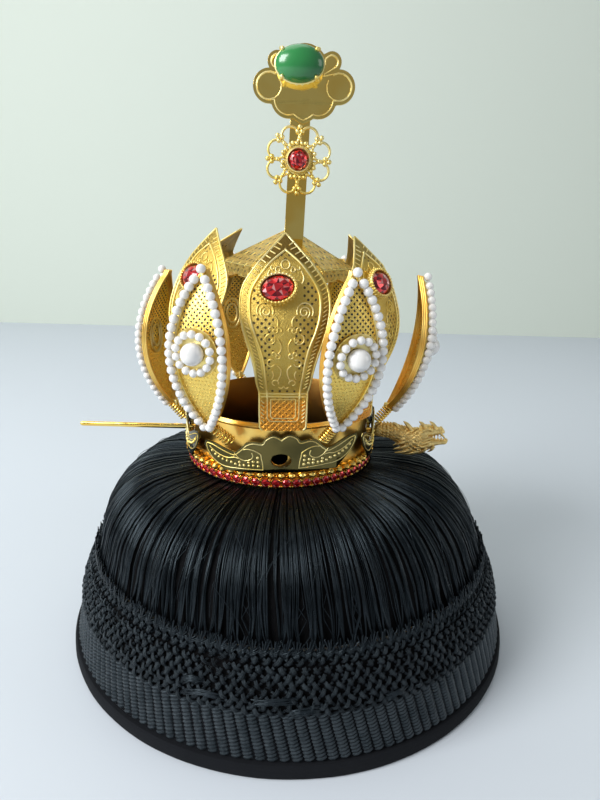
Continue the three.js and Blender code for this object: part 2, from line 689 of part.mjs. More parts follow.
/** The coil of wire between the collar and an outer petal's foot. */
function makeSpring({ azimuth, solder, footRadius, footZ }) {
  const aside = radians(solder - azimuth);
  const radius = COLLAR_RADIUS + SPRING.clear;
  const [x, y] = [radius * Math.sin(aside), -radius * Math.cos(aside)];
  const start = new THREE.Vector3(x, y, footZ - SPRING.drop);
  const axis = new THREE.Vector3(0, -footRadius - SPRING_END.out, footZ + SPRING_END.up).sub(start);
  const length = axis.length();
  const steps = Math.round(SPRING.turns * SPRING.stepsPerTurn);
  const points = Array.from({ length: steps + 1 }, (_, i) => {
    const angle = (2 * Math.PI * i) / SPRING.stepsPerTurn;
    const [along, side] = [(i / steps) * length, SPRING.radius];
    return new THREE.Vector3(side * Math.cos(angle), side * Math.sin(angle), along);
  });
  const aim = new THREE.Quaternion().setFromUnitVectors(UP, axis.normalize());
  return wire(points, SPRING.wire, steps, 4).applyQuaternion(aim).translate(x, y, start.z);
}

function makeOuterPetal(petal) {
  const plate = sheet((across, up) => outerSurface(2 * across - 1, up), 2, 10, SHEET);
  const lug = new THREE.BoxGeometry(LUG.width, LUG.depth, LUG.height).translate(0, LUG.y, LUG.z);
  return soldered(ontoOuterPetal(plate, petal), ontoOuterPetal(lug, petal), makeSpring(petal));
}

// Where the string of pearls runs: shares of the petal's length, and points on each side.
const PEARL_EDGE = { low: 0.045, high: 0.955, tip: 0.985, tipRise: 0.6, points: 11 };

/** The string of pearls along both edges of an outer petal, over its tip. */
function makePearlEdge(petal) {
  const lift = new THREE.Vector3(0, -(SHEET / 2 + GAP + PEARL / 2), 0);
  const { low, high, tip, tipRise, points } = PEARL_EDGE;
  const side = (sign) =>
    Array.from({ length: points }, (_, i) => {
      const up = THREE.MathUtils.lerp(low, high, i / (points - 1));
      return outerSurface(sign, up).add(lift);
    });
  const top = outerSurface(0, tip).add(lift).add(new THREE.Vector3(0, 0, tipRise));
  const route = [...side(-1), top, ...side(1).toReversed()];
  return ontoOuterPetal(wire(route, PEARL / 2, 26, 5), petal);
}

/** The middle of an outer petal's flower, lifted off the sheet. */
function petalMiddle(lift) {
  const heart = outerSurface(0, OUTER.flowerUp);
  return [0, heart.y - lift, heart.z];
}

function makePearlRing(petal) {
  const ring = new THREE.TorusGeometry(FLOWER_RING, RING_PEARL / 2, 5, 14).rotateX(Math.PI / 2);
  return ontoOuterPetal(ring.translate(...petalMiddle(SHEET / 2 + GAP + RING_PEARL / 2)), petal);
}

const PEARL_SEAT = 38; // degrees below its middle at which a big pearl is cut off flat

function makeBigPearl(petal) {
  const radius = BIG_PEARL / 2;
  const middle = radius * Math.sin(radians(PEARL_SEAT));
  const profile = [[0, 0]];
  for (const angle of [-PEARL_SEAT, -10, 20, 50].map(radians)) {
    profile.push([radius * Math.cos(angle), middle + radius * Math.sin(angle)]);
  }
  profile.push([0, middle + radius]);
  const pearl = turned(profile, 10).rotateX(Math.PI / 2).translate(...petalMiddle(SHEET / 2 + GAP));
  return ontoOuterPetal(pearl, petal);
}

// ---- hairpin --------------------------------------------------------------------------------

// The dragon's heights are measured from the pin's axis.
const DRAGON_BODY = [
  { x: PIN_HEAD_X, z: -0.2, high: 4.6, wide: 4 },
  { x: 52, z: -0.4, high: 6.2, wide: 5 },
  { x: 58, z: -1, high: 6.4, wide: 5.4 },
  { x: 62, z: -3, high: 9.6, wide: 7 },
  { x: 67, z: -5.2, high: 13, wide: 9 },
  { x: 72, z: -4.6, high: 11.6, wide: 8.6 },
  { x: 75.5, z: -3.2, high: 8, wide: 7 },
];
const DRAGON_SNOUT = [
  { x: 72, z: -1, high: 5.4, wide: 7 },
  { x: 77, z: 1.2, high: 5.6, wide: 5.6 },
  { x: 82, z: 0.8, high: 4, wide: 4.4 },
  { x: 84.2, z: 0, high: 2, wide: 2.8 },
];
const DRAGON_JAW = [
  { x: 72, z: -6.4, high: 5.4, wide: 6.4 },
  { x: 79, z: -6.4, high: 3, wide: 5 },
  { x: 84, z: -6.6, high: 2.2, wide: 3.4 },
  { x: 86.6, z: -6.4, high: 2.8, wide: 2.4 },
];
// Flat fins, horns and beard: three corners each, in X and in height over the pin's axis.
const DRAGON_FINS = [
  { x0: 60, z0: 0, x1: 62.6, z1: 4.6, x2: 68, z2: -1 },
  { x0: 68.6, z0: -1, x1: 70.6, z1: 4, x2: 74, z2: 0 },
  { x0: 74, z0: 1, x1: 75.6, z1: 5, x2: 80, z2: 1.6 },
  { x0: 64, z0: -5, x1: 57.6, z1: -7.4, x2: 65, z2: -9 },
  { x0: 66, z0: -8, x1: 58.6, z1: -11.8, x2: 68, z2: -10.6 },
  { x0: 76, z0: -7.4, x1: 80.4, z1: -11.4, x2: 72, z2: -9 },
];

const FIN_THICK = 1.4;
const PIN_SHAFT = [
  { x: PIN_TIP_X, z: 0, high: 2.4, wide: 1.6 },
  { x: PIN_HEAD_X + 3, z: 0, high: 3.4, wide: 2.6 },
];

function makeHairpin() {
  const fin = ({ x0, z0, x1, z1, x2, z2 }) => stamped([[x0, z0], [x2, z2], [x1, z1]], FIN_THICK);
  const round = [PIN_SHAFT, DRAGON_BODY, DRAGON_SNOUT, DRAGON_JAW].map((sections) => lofted(sections, 8));
  return soldered(...round, ...DRAGON_FINS.map(fin)).translate(0, 0, PIN_Z);
}

// ---- assembly ---------------------------------------------------------------------------------

function makeCap() {
  const cap = new THREE.Group();
  cap.add(
    named("cap_edging", makeEdging(), blackFelt),
    named("cap_cord_band", makeCordBand(), blackCord),
    named("cap_knotted_net", softWall(NET_PROFILE, CLOTH_WALL), blackCord),
    named("cap_hair", softWall(HAIR_PROFILE, HAIR_WALL), horsehair),
  );
  return cap;
}

function turnedTo(azimuth, ...meshes) {
  const group = new THREE.Group();
  group.rotation.z = radians(azimuth);
  group.add(...meshes);
  return group;
}

function makeCollar() {
  const collar = new THREE.Group();
  COLLAR_PLACES.forEach((plate, i) => {
    const mesh = named(`collar_${plate.place}`, makeCollarPlate(plate), gold);
    collar.add(turnedTo(90 * i + COLLAR_TURN, mesh));
  });
  return collar;
}

/** Leans what is given to the right about the ring's top. */
function leaned(degrees, ...pieces) {
  const inside = new THREE.Group();
  inside.position.z = -RING_TOP;
  inside.add(...pieces);
  const pivot = new THREE.Group();
  pivot.position.z = RING_TOP;
  pivot.rotation.y = radians(degrees);
  pivot.add(inside);
  return pivot;
}

/** The inner petals with their stones, the roof and the finial. */
function makeBud() {
  const bud = new THREE.Group();
  INNER_PLACES.forEach((petal, i) => {
    const plate = named(`inner_petal_${i + 1}`, makeInnerPetal(petal), etchedGold);
    const stone = named(`petal_stone_${i + 1}`, makePetalStone(petal), redGlass);
    bud.add(leaned(petal.lean, turnedTo(petal.azimuth, plate, stone)));
  });
  bud.add(leaned(
    LEAN,
    named("roof", makeRoof(), etchedGold),
    named("finial_strap", makeStrap(), gold),
    named("filigree_flower", makeFlower(), gold),
    named("flower_stone", makeFlowerStone(), redGlass),
    named("cloud_plate", makeCloudPlate(), gold),
    named("cabochon", makeCabochon(), greenStone),
  ));
  return bud;
}

function makeOuterPetals() {
  const petals = new THREE.Group();
  for (const petal of OUTER_PETALS) {
    petals.add(turnedTo(
      petal.azimuth,
      named(`outer_petal_${petal.place}`, makeOuterPetal(petal), etchedGold),
      named(`pearl_edge_${petal.place}`, makePearlEdge(petal), pearlFinish),
      named(`pearl_ring_${petal.place}`, makePearlRing(petal), pearlFinish),
      named(`big_pearl_${petal.place}`, makeBigPearl(petal), pearlFinish),
    ));
  }
  return petals;
}

const crown = new THREE.Group();
crown.position.x = CROWN_X;
crown.add(
  named("crown_ring", makeRing(), gold),
  named("stone_trim", makeStoneTrim(), gold),
  makeCollar(),
  makeBud(),
  makeOuterPetals(),
  named("hairpin", makeHairpin(), gold),
);

const group = new THREE.Group();
group.add(makeCap(), crown);
export default group;
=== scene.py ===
import math
import random
from contextlib import contextmanager
from math import cos, pi, radians, sin

import bmesh
import bpy
from mathutils import Matrix, Vector


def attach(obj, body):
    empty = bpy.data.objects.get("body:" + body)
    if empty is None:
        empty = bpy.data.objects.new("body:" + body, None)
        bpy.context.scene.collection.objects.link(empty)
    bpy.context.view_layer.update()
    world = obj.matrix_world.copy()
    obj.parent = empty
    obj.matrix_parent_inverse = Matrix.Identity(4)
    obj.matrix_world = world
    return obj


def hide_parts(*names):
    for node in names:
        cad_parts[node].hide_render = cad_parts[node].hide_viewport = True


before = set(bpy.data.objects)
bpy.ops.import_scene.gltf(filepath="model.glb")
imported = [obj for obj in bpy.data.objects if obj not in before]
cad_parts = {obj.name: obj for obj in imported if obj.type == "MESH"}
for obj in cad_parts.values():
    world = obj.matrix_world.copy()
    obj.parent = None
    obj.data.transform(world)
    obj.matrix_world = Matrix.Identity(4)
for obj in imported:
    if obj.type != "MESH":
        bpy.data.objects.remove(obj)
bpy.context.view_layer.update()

# Pieces are modelled in millimetres, upright, with the front at -Y and the middle of the cap
# or of the crown at x = 0, y = 0. The last step on each brings it to metres and to its place.
MM = 0.001
CROWN_X = -7  # the crown sits a little to the left on the cap
CROWN = Matrix.Translation((CROWN_X, 0, 0))
HERE = Matrix.Identity(4)


# ---- tools of the bench ------------------------------------------------------------------


def alone(piece):
    """Selects one piece and nothing else."""
    bpy.ops.object.select_all(action="DESELECT")
    piece.select_set(True)
    bpy.context.view_layer.objects.active = piece
    return piece


def added(name, data=None):
    """A new object in the scene; with no data it is an empty."""
    thing = bpy.data.objects.new(name, data)
    bpy.context.scene.collection.objects.link(thing)
    return thing


def discard(*things):
    for thing in things:
        bpy.data.objects.remove(thing)


def as_mesh(name, curve):
    alone(added(name, curve))
    bpy.ops.object.convert(target="MESH")
    return bpy.context.object


def started(kind, name, **where):
    """A primitive, by the name of its operator."""
    bpy.ops.object.select_all(action="DESELECT")
    getattr(bpy.ops.mesh, f"primitive_{kind}_add")(**where)
    piece = bpy.context.object
    piece.name = name
    return piece


@contextmanager
def editing(piece, mode="VERT"):
    """Edit mode on one piece, with nothing selected at first."""
    alone(piece)
    bpy.ops.object.mode_set(mode="EDIT")
    bpy.ops.mesh.select_mode(type=mode)
    bpy.ops.mesh.select_all(action="DESELECT")
    yield
    bpy.ops.object.mode_set(mode="OBJECT")


def pick(piece, wanted):
    """In edit mode, selects the vertices that `wanted` says yes to, and only those."""
    bpy.ops.mesh.select_all(action="DESELECT")
    mesh = bmesh.from_edit_mesh(piece.data)
    for vert in mesh.verts:
        vert.select = wanted(piece.matrix_world @ vert.co)
    mesh.select_flush(True)
    bmesh.update_edit_mesh(piece.data)


def outwards(piece):
    """Merges what lies together and turns the faces outwards."""
    with editing(piece):
        bpy.ops.mesh.select_all(action="SELECT")
        bpy.ops.mesh.remove_doubles(threshold=0.001)
        bpy.ops.mesh.normals_make_consistent(inside=False)
    return piece


def modified(piece, kind, **settings):
    """Adds a modifier, sets it and applies it."""
    alone(piece)
    modifier = piece.modifiers.new(kind.lower(), kind)
    for key, value in settings.items():
        setattr(modifier, key, value)
    bpy.ops.object.modifier_apply(modifier=modifier.name)
    return piece


def moved(piece, *moves):
    """Moves a piece by each matrix in turn and applies its place."""
    alone(piece)
    for move in moves:
        piece.matrix_world = move @ piece.matrix_world
    bpy.ops.object.transform_apply(location=True, rotation=True, scale=True)
    return piece


def copied(piece, move=HERE):
    copy = piece.copy()
    copy.data = piece.data.copy()
    copy.matrix_world = move @ piece.matrix_world
    bpy.context.scene.collection.objects.link(copy)
    return copy


def joined(name, pieces):
    bpy.ops.object.select_all(action="DESELECT")
    for piece in pieces:
        piece.select_set(True)
    bpy.context.view_layer.objects.active = pieces[0]
    if len(pieces) > 1:
        bpy.ops.object.join()
    whole = moved(bpy.context.object)
    whole.name = name
    return whole


def scattered(name, unit, places):
    """Copies of one small piece at many places, as one mesh."""
    copies = [copied(unit, place) for place in places]
    discard(unit)
    return joined(name, copies)


def around(piece, count):
    """Repeats a piece all round the Z axis."""
    turn = added("turn")
    turn.rotation_euler.z = 2 * pi / count
    moved(piece)
    settings = {"count": count, "use_relative_offset": False, "use_object_offset": True}
    modified(piece, "ARRAY", offset_object=turn, **settings)
    discard(turn)
    return piece


def smooth(piece, angle=None):
    """Shades a piece smooth, or only where its faces meet at less than an angle."""
    alone(piece)
    if angle is None:
        bpy.ops.object.shade_smooth()
    else:
        bpy.ops.object.shade_smooth_by_angle(angle=radians(angle))
    return piece


def turned(name, rings, segments, shut=True):
    """A piece turned about Z: a circle extruded from ring to ring, each (radius, z).
    A shut one has its last ring bridged to its first; radius 0 closes a pole."""
    (radius, height), *others = rings
    piece = started("circle", name, vertices=segments, radius=radius, location=(0, 0, height))
    with editing(piece, "EDGE"):
        bpy.ops.mesh.select_all(action="SELECT")
        for next_radius, next_height in others:
            rise = {"value": (0, 0, next_height - height)}
            bpy.ops.mesh.extrude_edges_move(TRANSFORM_OT_translate=rise)
            height = next_height
            if next_radius == 0:
                bpy.ops.mesh.merge(type="COLLAPSE")
                break
            scale = next_radius / radius
            bpy.ops.transform.resize(value=(scale, scale, 1), center_override=(0, 0, height))
            radius = next_radius
        bpy.ops.mesh.select_non_manifold(extend=False)
        if shut and others[-1][0] > 0:
            bpy.ops.mesh.bridge_edge_loops()
        elif shut:
            bpy.ops.mesh.edge_face_add()
    return outwards(piece)


def lofted(name, sections, corners):
    """A body along X: a round face extruded from section to section of x, z, high, wide."""
    x, z, high, wide = sections[0]
    face = {"fill_type": "NGON", "rotation": (0, pi / 2, 0), "location": (x, 0, z)}
    piece = started("circle", name, vertices=corners, radius=0.5, **face)
    with editing(piece, "FACE"):
        bpy.ops.mesh.select_all(action="SELECT")
        bpy.ops.transform.resize(value=(1, wide, high), center_override=(x, 0, z))
        for next_x, next_z, next_high, next_wide in sections[1:]:
            step = {"value": (next_x - x, 0, next_z - z)}
            bpy.ops.mesh.extrude_region_move(TRANSFORM_OT_translate=step)
            x, z = next_x, next_z
            scale = (1, next_wide / wide, next_high / high)
            bpy.ops.transform.resize(value=scale, center_override=(x, 0, z))
            high, wide = next_high, next_wide
    return outwards(piece)


def drawn_up(name, columns, rows, thickness):
    """A curved sheet drawn up row by row from an edge. A row is (half width, depth of its
    hollow, y of its edges, z). Each point keeps (x, side, z) as the attribute "flat"."""
    sheet = started("grid", name, x_subdivisions=columns, y_subdivisions=1, size=2)
    half, depth, y, z = rows[0]
    with editing(sheet):
        pick(sheet, lambda co: co.y > 0)
        bpy.ops.mesh.delete(type="VERT")
        bpy.ops.mesh.select_all(action="SELECT")
        bpy.ops.transform.translate(value=(0, 1, 0))
        for column in range(columns + 1):
            side = 2 * column / columns - 1
            pick(sheet, lambda co: abs(co.x - side) < 1 / columns)
            bpy.ops.transform.translate(value=(0, side * side - 1, 0))
        bpy.ops.mesh.select_all(action="SELECT")
        bpy.ops.transform.resize(value=(half, depth, 1), center_override=(0, 0, 0))
        bpy.ops.transform.translate(value=(0, y, z))
        for next_half, next_depth, next_y, next_z in rows[1:]:
            step = {"value": (0, next_y - y, next_z - z)}
            bpy.ops.mesh.extrude_edges_move(TRANSFORM_OT_translate=step)
            y, z = next_y, next_z
            scale = (next_half / half, next_depth / depth, 1)
            bpy.ops.transform.resize(value=scale, center_override=(0, y, z))
            half, depth = next_half, next_depth
    moved(sheet)
    widths = {round(row[3], 2): row[0] for row in rows}
    flat = sheet.data.attributes.new("flat", "FLOAT_VECTOR", "POINT")
    for point, vert in zip(flat.data, sheet.data.vertices):
        point.vector = (vert.co.x, vert.co.x / widths[round(vert.co.z, 2)], vert.co.z)
    modified(sheet, "SOLIDIFY", thickness=thickness, offset=0, use_even_offset=True)
    return smooth(outwards(sheet), 50)


def wires(name, routes, radius, corners=6, ring=False, taper=None):
    """Round wires along routes of points, as one mesh; taper gives a share at each point."""
    curve = bpy.data.curves.new(name, "CURVE")
    curve.dimensions = "3D"
    curve.bevel_depth = radius
    curve.bevel_resolution = corners // 2 - 2
    curve.use_fill_caps = True
    for route in routes:
        spline = curve.splines.new("POLY")
        spline.points.add(len(route) - 1)
        for i, (point, at) in enumerate(zip(spline.points, route)):
            point.co = (*at, 1)
            point.radius = taper(i / (len(route) - 1)) if taper else 1
        spline.use_cyclic_u = ring
        spline.use_smooth = True
    return as_mesh(name, curve)


def kept(piece, name, finish, *nodes, at=HERE, body="headdress"):
    """Brings a finished piece to metres and its place, and gives it its finish and body.
    The nodes are the CAD nodes that it stands for."""
    moved(piece, at, Matrix.Scale(MM, 4))
    piece.name = name
    piece.data.name = name
    piece.data.materials.clear()
    piece.data.materials.append(FINISHES[finish])
    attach(piece, body)
    if nodes:
        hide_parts(*nodes)
    return piece


# ---- small sums --------------------------------------------------------------------------


def turn_z(degrees):
    return Matrix.Rotation(radians(degrees), 4, "Z")


def lerp(a, b, share):
    return a + (b - a) * share


def curve_through(points, share):
    """A point on a smooth line through a list of points, share 0 to 1."""
    last = len(points) - 1
    place = min(share * last, last - 1e-6)
    i = int(place)
    t = place - i
    a, b, c, d = (Vector(points[min(max(k, 0), last)]) for k in (i - 1, i, i + 1, i + 2))
    return 0.5 * (2 * b + (c - a) * t + (2 * a - 5 * b + 4 * c - d) * t**2
                  + (3 * b - a - 3 * c + d) * t**3)


def smoothed(points, count):
    """A smooth route of count points through a few."""
    return [curve_through(points, i / (count - 1)) for i in range(count)]


def at_height(table, z):
    """The values of a table of (z, value, value ...) at a height, straight between rows."""
    for low, high in zip(table, table[1:]):
        if z <= high[0]:
            share = (z - low[0]) / (high[0] - low[0])
            return [lerp(a, b, share) for a, b in zip(low[1:], high[1:])]
    return list(table[-1][1:])


# ---- shader sums -------------------------------------------------------------------------


class Value:
    """A node's output. Sums on it add Math nodes to its finish."""

    def __init__(self, finish, socket):
        self.finish = finish
        self.socket = socket

    def math(self, operation, *values):
        inputs = dict(enumerate(values))
        return self.finish.node("ShaderNodeMath", {"operation": operation}, inputs)

    def __add__(self, other):
        return self.math("ADD", self, other)

    def __sub__(self, other):
        return self.math("SUBTRACT", self, other)

    def __rsub__(self, other):
        return self.math("SUBTRACT", other, self)

    def __mul__(self, other):
        return self.math("MULTIPLY", self, other)

    def __truediv__(self, other):
        return self.math("DIVIDE", self, other)

    def __pow__(self, other):
        return self.math("POWER", self, other)

    __radd__ = __add__
    __rmul__ = __mul__

    def fract(self):
        return self.math("FRACT", self)

    def size(self):
        return self.math("ABSOLUTE", self)

    def most(self, other):
        return self.math("MAXIMUM", self, other)

    def least(self, other):
        return self.math("MINIMUM", self, other)

    def above(self, low, high):
        """0 below low, 1 above high and smooth between; low may be the higher one."""
        settings = {"interpolation_type": "SMOOTHSTEP"}
        inputs = {"Value": self, "From Min": low, "From Max": high}
        if low > high:
            inputs = {"Value": self, "From Min": high, "From Max": low, "To Min": 1.0, "To Max": 0.0}
        return self.finish.node("ShaderNodeMapRange", settings, inputs)

    def within(self, low, high):
        """1 between two values and 0 outside them."""
        return self.above(low - 0.3, low + 0.3) * self.above(high + 0.3, high - 0.3)

    def axes(self):
        return [self.finish.node("ShaderNodeSeparateXYZ", {}, {0: self}, output=i) for i in range(3)]


class Finish:
    """A material being made: a Principled shader and the nodes that feed it."""

    def __init__(self, name, slot, **constants):
        self.material = bpy.data.materials.new(name)
        self.material.use_nodes = True
        self.material["slot"] = slot
        self.tree = self.material.node_tree
        self.shader = self.tree.nodes["Principled BSDF"]
        for key, value in constants.items():
            self.shader.inputs[key.replace("_", " ")].default_value = value

    def node(self, kind, settings, inputs, output=0):
        node = self.tree.nodes.new(kind)
        for key, value in settings.items():
            setattr(node, key, value)
        for key, value in inputs.items():
            self.feed(node.inputs[key], value)
        return Value(self, node.outputs[output])

    def feed(self, socket, value):
        if isinstance(value, Value):
            self.tree.links.new(value.socket, socket)
        else:
            socket.default_value = value

    def set(self, **values):
        for key, value in values.items():
            self.feed(self.shader.inputs[key.replace("_", " ")], value)

    def place(self):
        return self.node("ShaderNodeTexCoord", {}, {}, output=3)

    def flat(self):
        """The place on a sheet before it was bent: x and z in mm, and how far to the side."""
        names = {"attribute_name": "flat"}
        return self.node("ShaderNodeAttribute", names, {}, output=1).axes()

    def stretched(self, place, scale):
        settings = {"operation": "MULTIPLY"}
        return self.node("ShaderNodeVectorMath", settings, {0: place, 1: scale})

    def noise(self, place, scale, detail=3.0, rough=0.5):
        inputs = {"Vector": place, "Scale": scale, "Detail": detail, "Roughness": rough}
        return self.node("ShaderNodeTexNoise", {}, inputs)

    def mix(self, share, low, high):
        settings = {"data_type": "RGBA"}
        return self.node("ShaderNodeMix", settings, {0: share, 6: low, 7: high}, output=2)

    def bump(self, height, distance, strength=1.0):
        inputs = {"Height": height, "Distance": distance, "Strength": strength}
        self.set(Normal=self.node("ShaderNodeBump", {}, inputs))


def color(red, green, blue):
    return (red, green, blue, 1.0)


# ---- camera, floor and light ------------------------------------------------------------

CAMERA = {"lens": 27, "place": (0.0028, -0.295, 0.205), "tilt": 73.5, "roll": 1.5}
WALL_Y = 0.885


def make_camera():
    data = bpy.data.cameras.new("camera")
    data.lens = CAMERA["lens"]
    data.clip_start = 0.01
    camera = added("camera", data)
    tilt = Matrix.Rotation(radians(CAMERA["tilt"]), 4, "X")
    camera.matrix_world = Matrix.Translation(CAMERA["place"]) @ tilt @ turn_z(CAMERA["roll"])
    bpy.context.scene.camera = camera


def make_stage():
    floor = started("plane", "floor", size=6)
    wall = started("plane", "wall", size=6, location=(0, WALL_Y, 1.5), rotation=(pi / 2, 0, 0))
    shades = [(floor, color(0.66, 0.70, 0.75)), (wall, color(0.72, 0.77, 0.68))]
    for piece, shade in shades:
        finish = Finish(f"plain_{piece.name}", "", Base_Color=shade, Roughness=0.9)
        piece.data.materials.append(finish.material)
    bpy.context.scene.view_settings.view_transform = "Standard"


def make_light(name, place, size, power, tint=(1, 1, 1)):
    """A square soft light that faces the crown."""
    data = bpy.data.lights.new(name, "AREA")
    data.size = size
    data.energy = power
    data.color = tint
    light = added(name, data)
    light.location = place
    aim = Vector((0, 0, 0.13)) - Vector(place)
    light.rotation_euler = aim.to_track_quat("-Z", "Y").to_euler()


def make_world():
    world = bpy.data.worlds.new("soft_room")
    world.use_nodes = True
    background = world.node_tree.nodes["Background"]
    background.inputs["Color"].default_value = color(0.86, 0.93, 1.0)
    background.inputs["Strength"].default_value = 0.30
    bpy.context.scene.world = world


make_camera()
make_stage()
make_world()
make_light("window_light", (-1.0, -0.6, 0.85), 0.75, 21, (0.97, 0.99, 1.0))
make_light("ceiling_light", (-0.3, 0.3, 1.5), 1.1, 4.5)
make_light("right_light", (1.1, -0.2, 0.5), 0.6, 2.0, (1.0, 0.98, 0.95))


# ---- finishes ---------------------------------------------------------------------------


def felt_finish():
    finish = Finish("black_felt", "black_felt", Specular_IOR_Level=0.25)
    place = finish.place()
    fibre = finish.noise(finish.stretched(place, (1.0, 1.0, 2.2)), 1400.0, 5.0, 0.7)
    cloud = finish.noise(place, 90.0)
    finish.set(Base_Color=finish.mix(cloud, color(0.003, 0.004, 0.006), color(0.007, 0.008, 0.011)))
    finish.set(Roughness=0.82 + 0.15 * fibre)
    finish.bump(fibre, 0.0004)
    return finish.material


COOL = color(0.70, 0.88, 1.0)


def cord_finish():
    """Waxed black thread: fine filaments over the windings, uneven gloss."""
    finish = Finish("black_cord", "black_cord", Specular_IOR_Level=0.48, Specular_Tint=COOL)
    place = finish.place()
    filament = finish.noise(finish.stretched(place, (1.0, 1.0, 3.0)), 2600.0, 4.0, 0.65)
    patch = finish.noise(place, 130.0)
    finish.set(Base_Color=finish.mix(patch, color(0.003, 0.004, 0.005), color(0.012, 0.015, 0.018)))
    finish.set(Roughness=0.20 + 0.30 * filament)
    finish.bump(filament, 0.0003)
    return finish.material


def rib_finish():
    """Thread wound round the band's ribs: each turn catches the light, and the grooves between turns are
    painted near black as painted shade.
    """
    finish = Finish("wound_thread", "black_cord", Specular_IOR_Level=0.8, Specular_Tint=COOL)
    _, _, turn = finish.flat()
    place = finish.place()
    fibre = finish.noise(finish.stretched(place, (1.0, 1.0, 3.0)), 1900.0, 4.0, 0.7)
    groove = (turn.fract() - 0.5).size().above(0.16, 0.40)
    loose = finish.noise(place, 150.0, 2.0).above(0.35, 0.6)
    thread = finish.mix(loose, color(0.006, 0.008, 0.010), color(0.026, 0.030, 0.034))
    # Painted shade: the grooves between the turns go near black.
    finish.set(Base_Color=finish.mix(groove * 0.9, thread, color(0.002, 0.002, 0.003)))
    finish.set(Roughness=0.26 + 0.16 * fibre + 0.5 * groove)
    finish.bump(fibre * 0.3 - groove, 0.0014)
    return finish.material


def hair_finish():
    """Combed horsehair: some strands are greyer, and the gloss changes from lock to lock."""
    finish = Finish("horsehair", "horsehair", Specular_IOR_Level=0.42, Specular_Tint=COOL)
    place = finish.place()
    lock = finish.noise(finish.stretched(place, (1.0, 1.0, 0.12)), 420.0, 3.0, 0.6)
    black, grey = color(0.002, 0.003, 0.004), color(0.010, 0.013, 0.017)
    finish.set(Base_Color=finish.mix(lock.above(0.45, 0.75), black, grey))
    finish.set(Roughness=0.18 + 0.26 * lock)
    return finish.material


def underhair_finish():
    finish = Finish("under_hair", "horsehair", Specular_IOR_Level=0.1)
    place = finish.place()
    lock = finish.noise(finish.stretched(place, (1.0, 1.0, 0.1)), 700.0, 3.0, 0.6)
    # Near black: the black hair beneath, and painted shade in the gaps between locks and knots.
    finish.set(Base_Color=finish.mix(lock, color(0.001, 0.001, 0.001), color(0.004, 0.004, 0.005)))
    finish.set(Roughness=0.7 + 0.3 * lock)
    finish.bump(lock, 0.0006)
    return finish.material


GOLD_PALE = color(0.96, 0.74, 0.21)
# The inner petals' gold is painted about a quarter darker than the other gold: a painted darker reflection.
PETAL_PALE = color(0.75, 0.57, 0.155)
PETAL_DEEP = color(0.71, 0.47, 0.095)
HOLE = color(0.012, 0.014, 0.020)
# Dark brown: grime on the cast brass, and painted shade and dark reflection on the inner petals.
GRIME_AND_PAINTED_SHADE = color(0.22, 0.13, 0.03)
PUNCHED = color(0.055, 0.036, 0.010)
AMBER = color(0.98, 0.54, 0.10)
GOLD_ORANGE = color(1.0, 0.70, 0.20)
GOLD_WHITE = color(1.0, 0.86, 0.42)
BRASS_DEEP = color(0.94, 0.60, 0.12)
BRASS_PALE = color(0.97, 0.70, 0.19)
ROOF_DEEP = color(0.62, 0.40, 0.09)
DARK_REFLECTION_DEEP = color(0.080, 0.068, 0.026)
DARK_REFLECTION_PALE = color(0.15, 0.12, 0.042)
CAST_DEEP = color(0.98, 0.66, 0.22)
CAST_PALE = color(1.0, 0.80, 0.36)
BOUNCE_ORANGE = color(0.90, 0.40, 0.06)
INSIDE_SHADE = color(0.30, 0.15, 0.035)


def gold_finish(name, gloss, ripple_height, deep, pale):
    """Thin plated brass: bright, with slow ripples in the sheet and faint wiping marks."""
    finish = Finish(name, "polished_gold", Metallic=1.0)
    place = finish.place()
    ripple = finish.noise(place, 60.0, 2.0)
    wiping = finish.noise(finish.stretched(place, (1.0, 1.0, 0.2)), 500.0, 3.0)
    finish.set(Base_Color=finish.mix(ripple.above(0.35, 0.65), deep, pale))
    finish.set(Roughness=gloss + 0.12 * wiping)
    finish.bump(ripple + 0.03 * wiping, ripple_height, 0.6)
    return finish.material


def ring_finish():
    """The ring's sheet: satin outside, with painted shade inside."""
    finish = Finish("ring_gold", "polished_gold", Metallic=1.0)
    place = finish.place()
    x, y, _ = place.axes()
    inside = (((x - CROWN_X * MM) ** 2.0 + y ** 2.0) ** 0.5).above(0.0438, 0.0435)
    ripple = finish.noise(place, 60.0, 2.0)
    # The satin's deep orange is partly gold and partly painted light bounced between the gold parts.
    satin = finish.mix(ripple.above(0.35, 0.65), AMBER, GOLD_ORANGE)
    # Painted shade: inside the ring the colour turns dark brown.
    finish.set(Base_Color=finish.mix(inside, satin, INSIDE_SHADE))
    finish.set(Roughness=0.28 + 0.1 * ripple)
    finish.bump(ripple, 0.0006, 0.6)
    return finish.material


def cast_gold_finish():
    """Cast brass with patches of grime and a worn, grainy skin."""
    finish = Finish("cast_gold", "cast_gold", Metallic=1.0)
    place = finish.place()
    grain = finish.noise(place, 900.0, 4.0, 0.65)
    grime = finish.noise(place, 380.0, 2.0).above(0.46, 0.62)
    clean = finish.mix(grain, CAST_DEEP, CAST_PALE)
    finish.set(Base_Color=finish.mix(grime * 0.22, clean, GRIME_AND_PAINTED_SHADE))
    finish.set(Roughness=0.22 + 0.26 * grain)
    finish.bump(grain, 0.0005, 0.8)
    return finish.material


def diamonds(x, z, pitch):
    """1 in the middle of each field of a diagonal lattice, 0 on its lines."""
    fields = [((x + side * z) * (1 / pitch)).fract() - 0.5 for side in (1, -1)]
    return 1 - 2 * fields[0].size().most(fields[1].size())


def dots(x, z, pitch):
    """1 in the middle of each dot of a square grid, falling to 0 half a pitch away."""
    across, up = (((value * (1 / pitch)).fract() - 0.5) ** 2.0 for value in (x, z))
    return 1 - 2 * (across + up) ** 0.5


# Where an inner petal is punched: how far out from its middle line, and between which heights.
PUNCHED_FIELDS = [
    ((7.4, 13.6), (172.4, 181.5)), ((4.4, 14), (154, 168)), ((5.6, 10.4), (146, 158)),
    ((0, 9.6), (133.8, 136)), ((0, 2.6), (190, 193)), ((6.6, 8.4), (139, 146)),
]


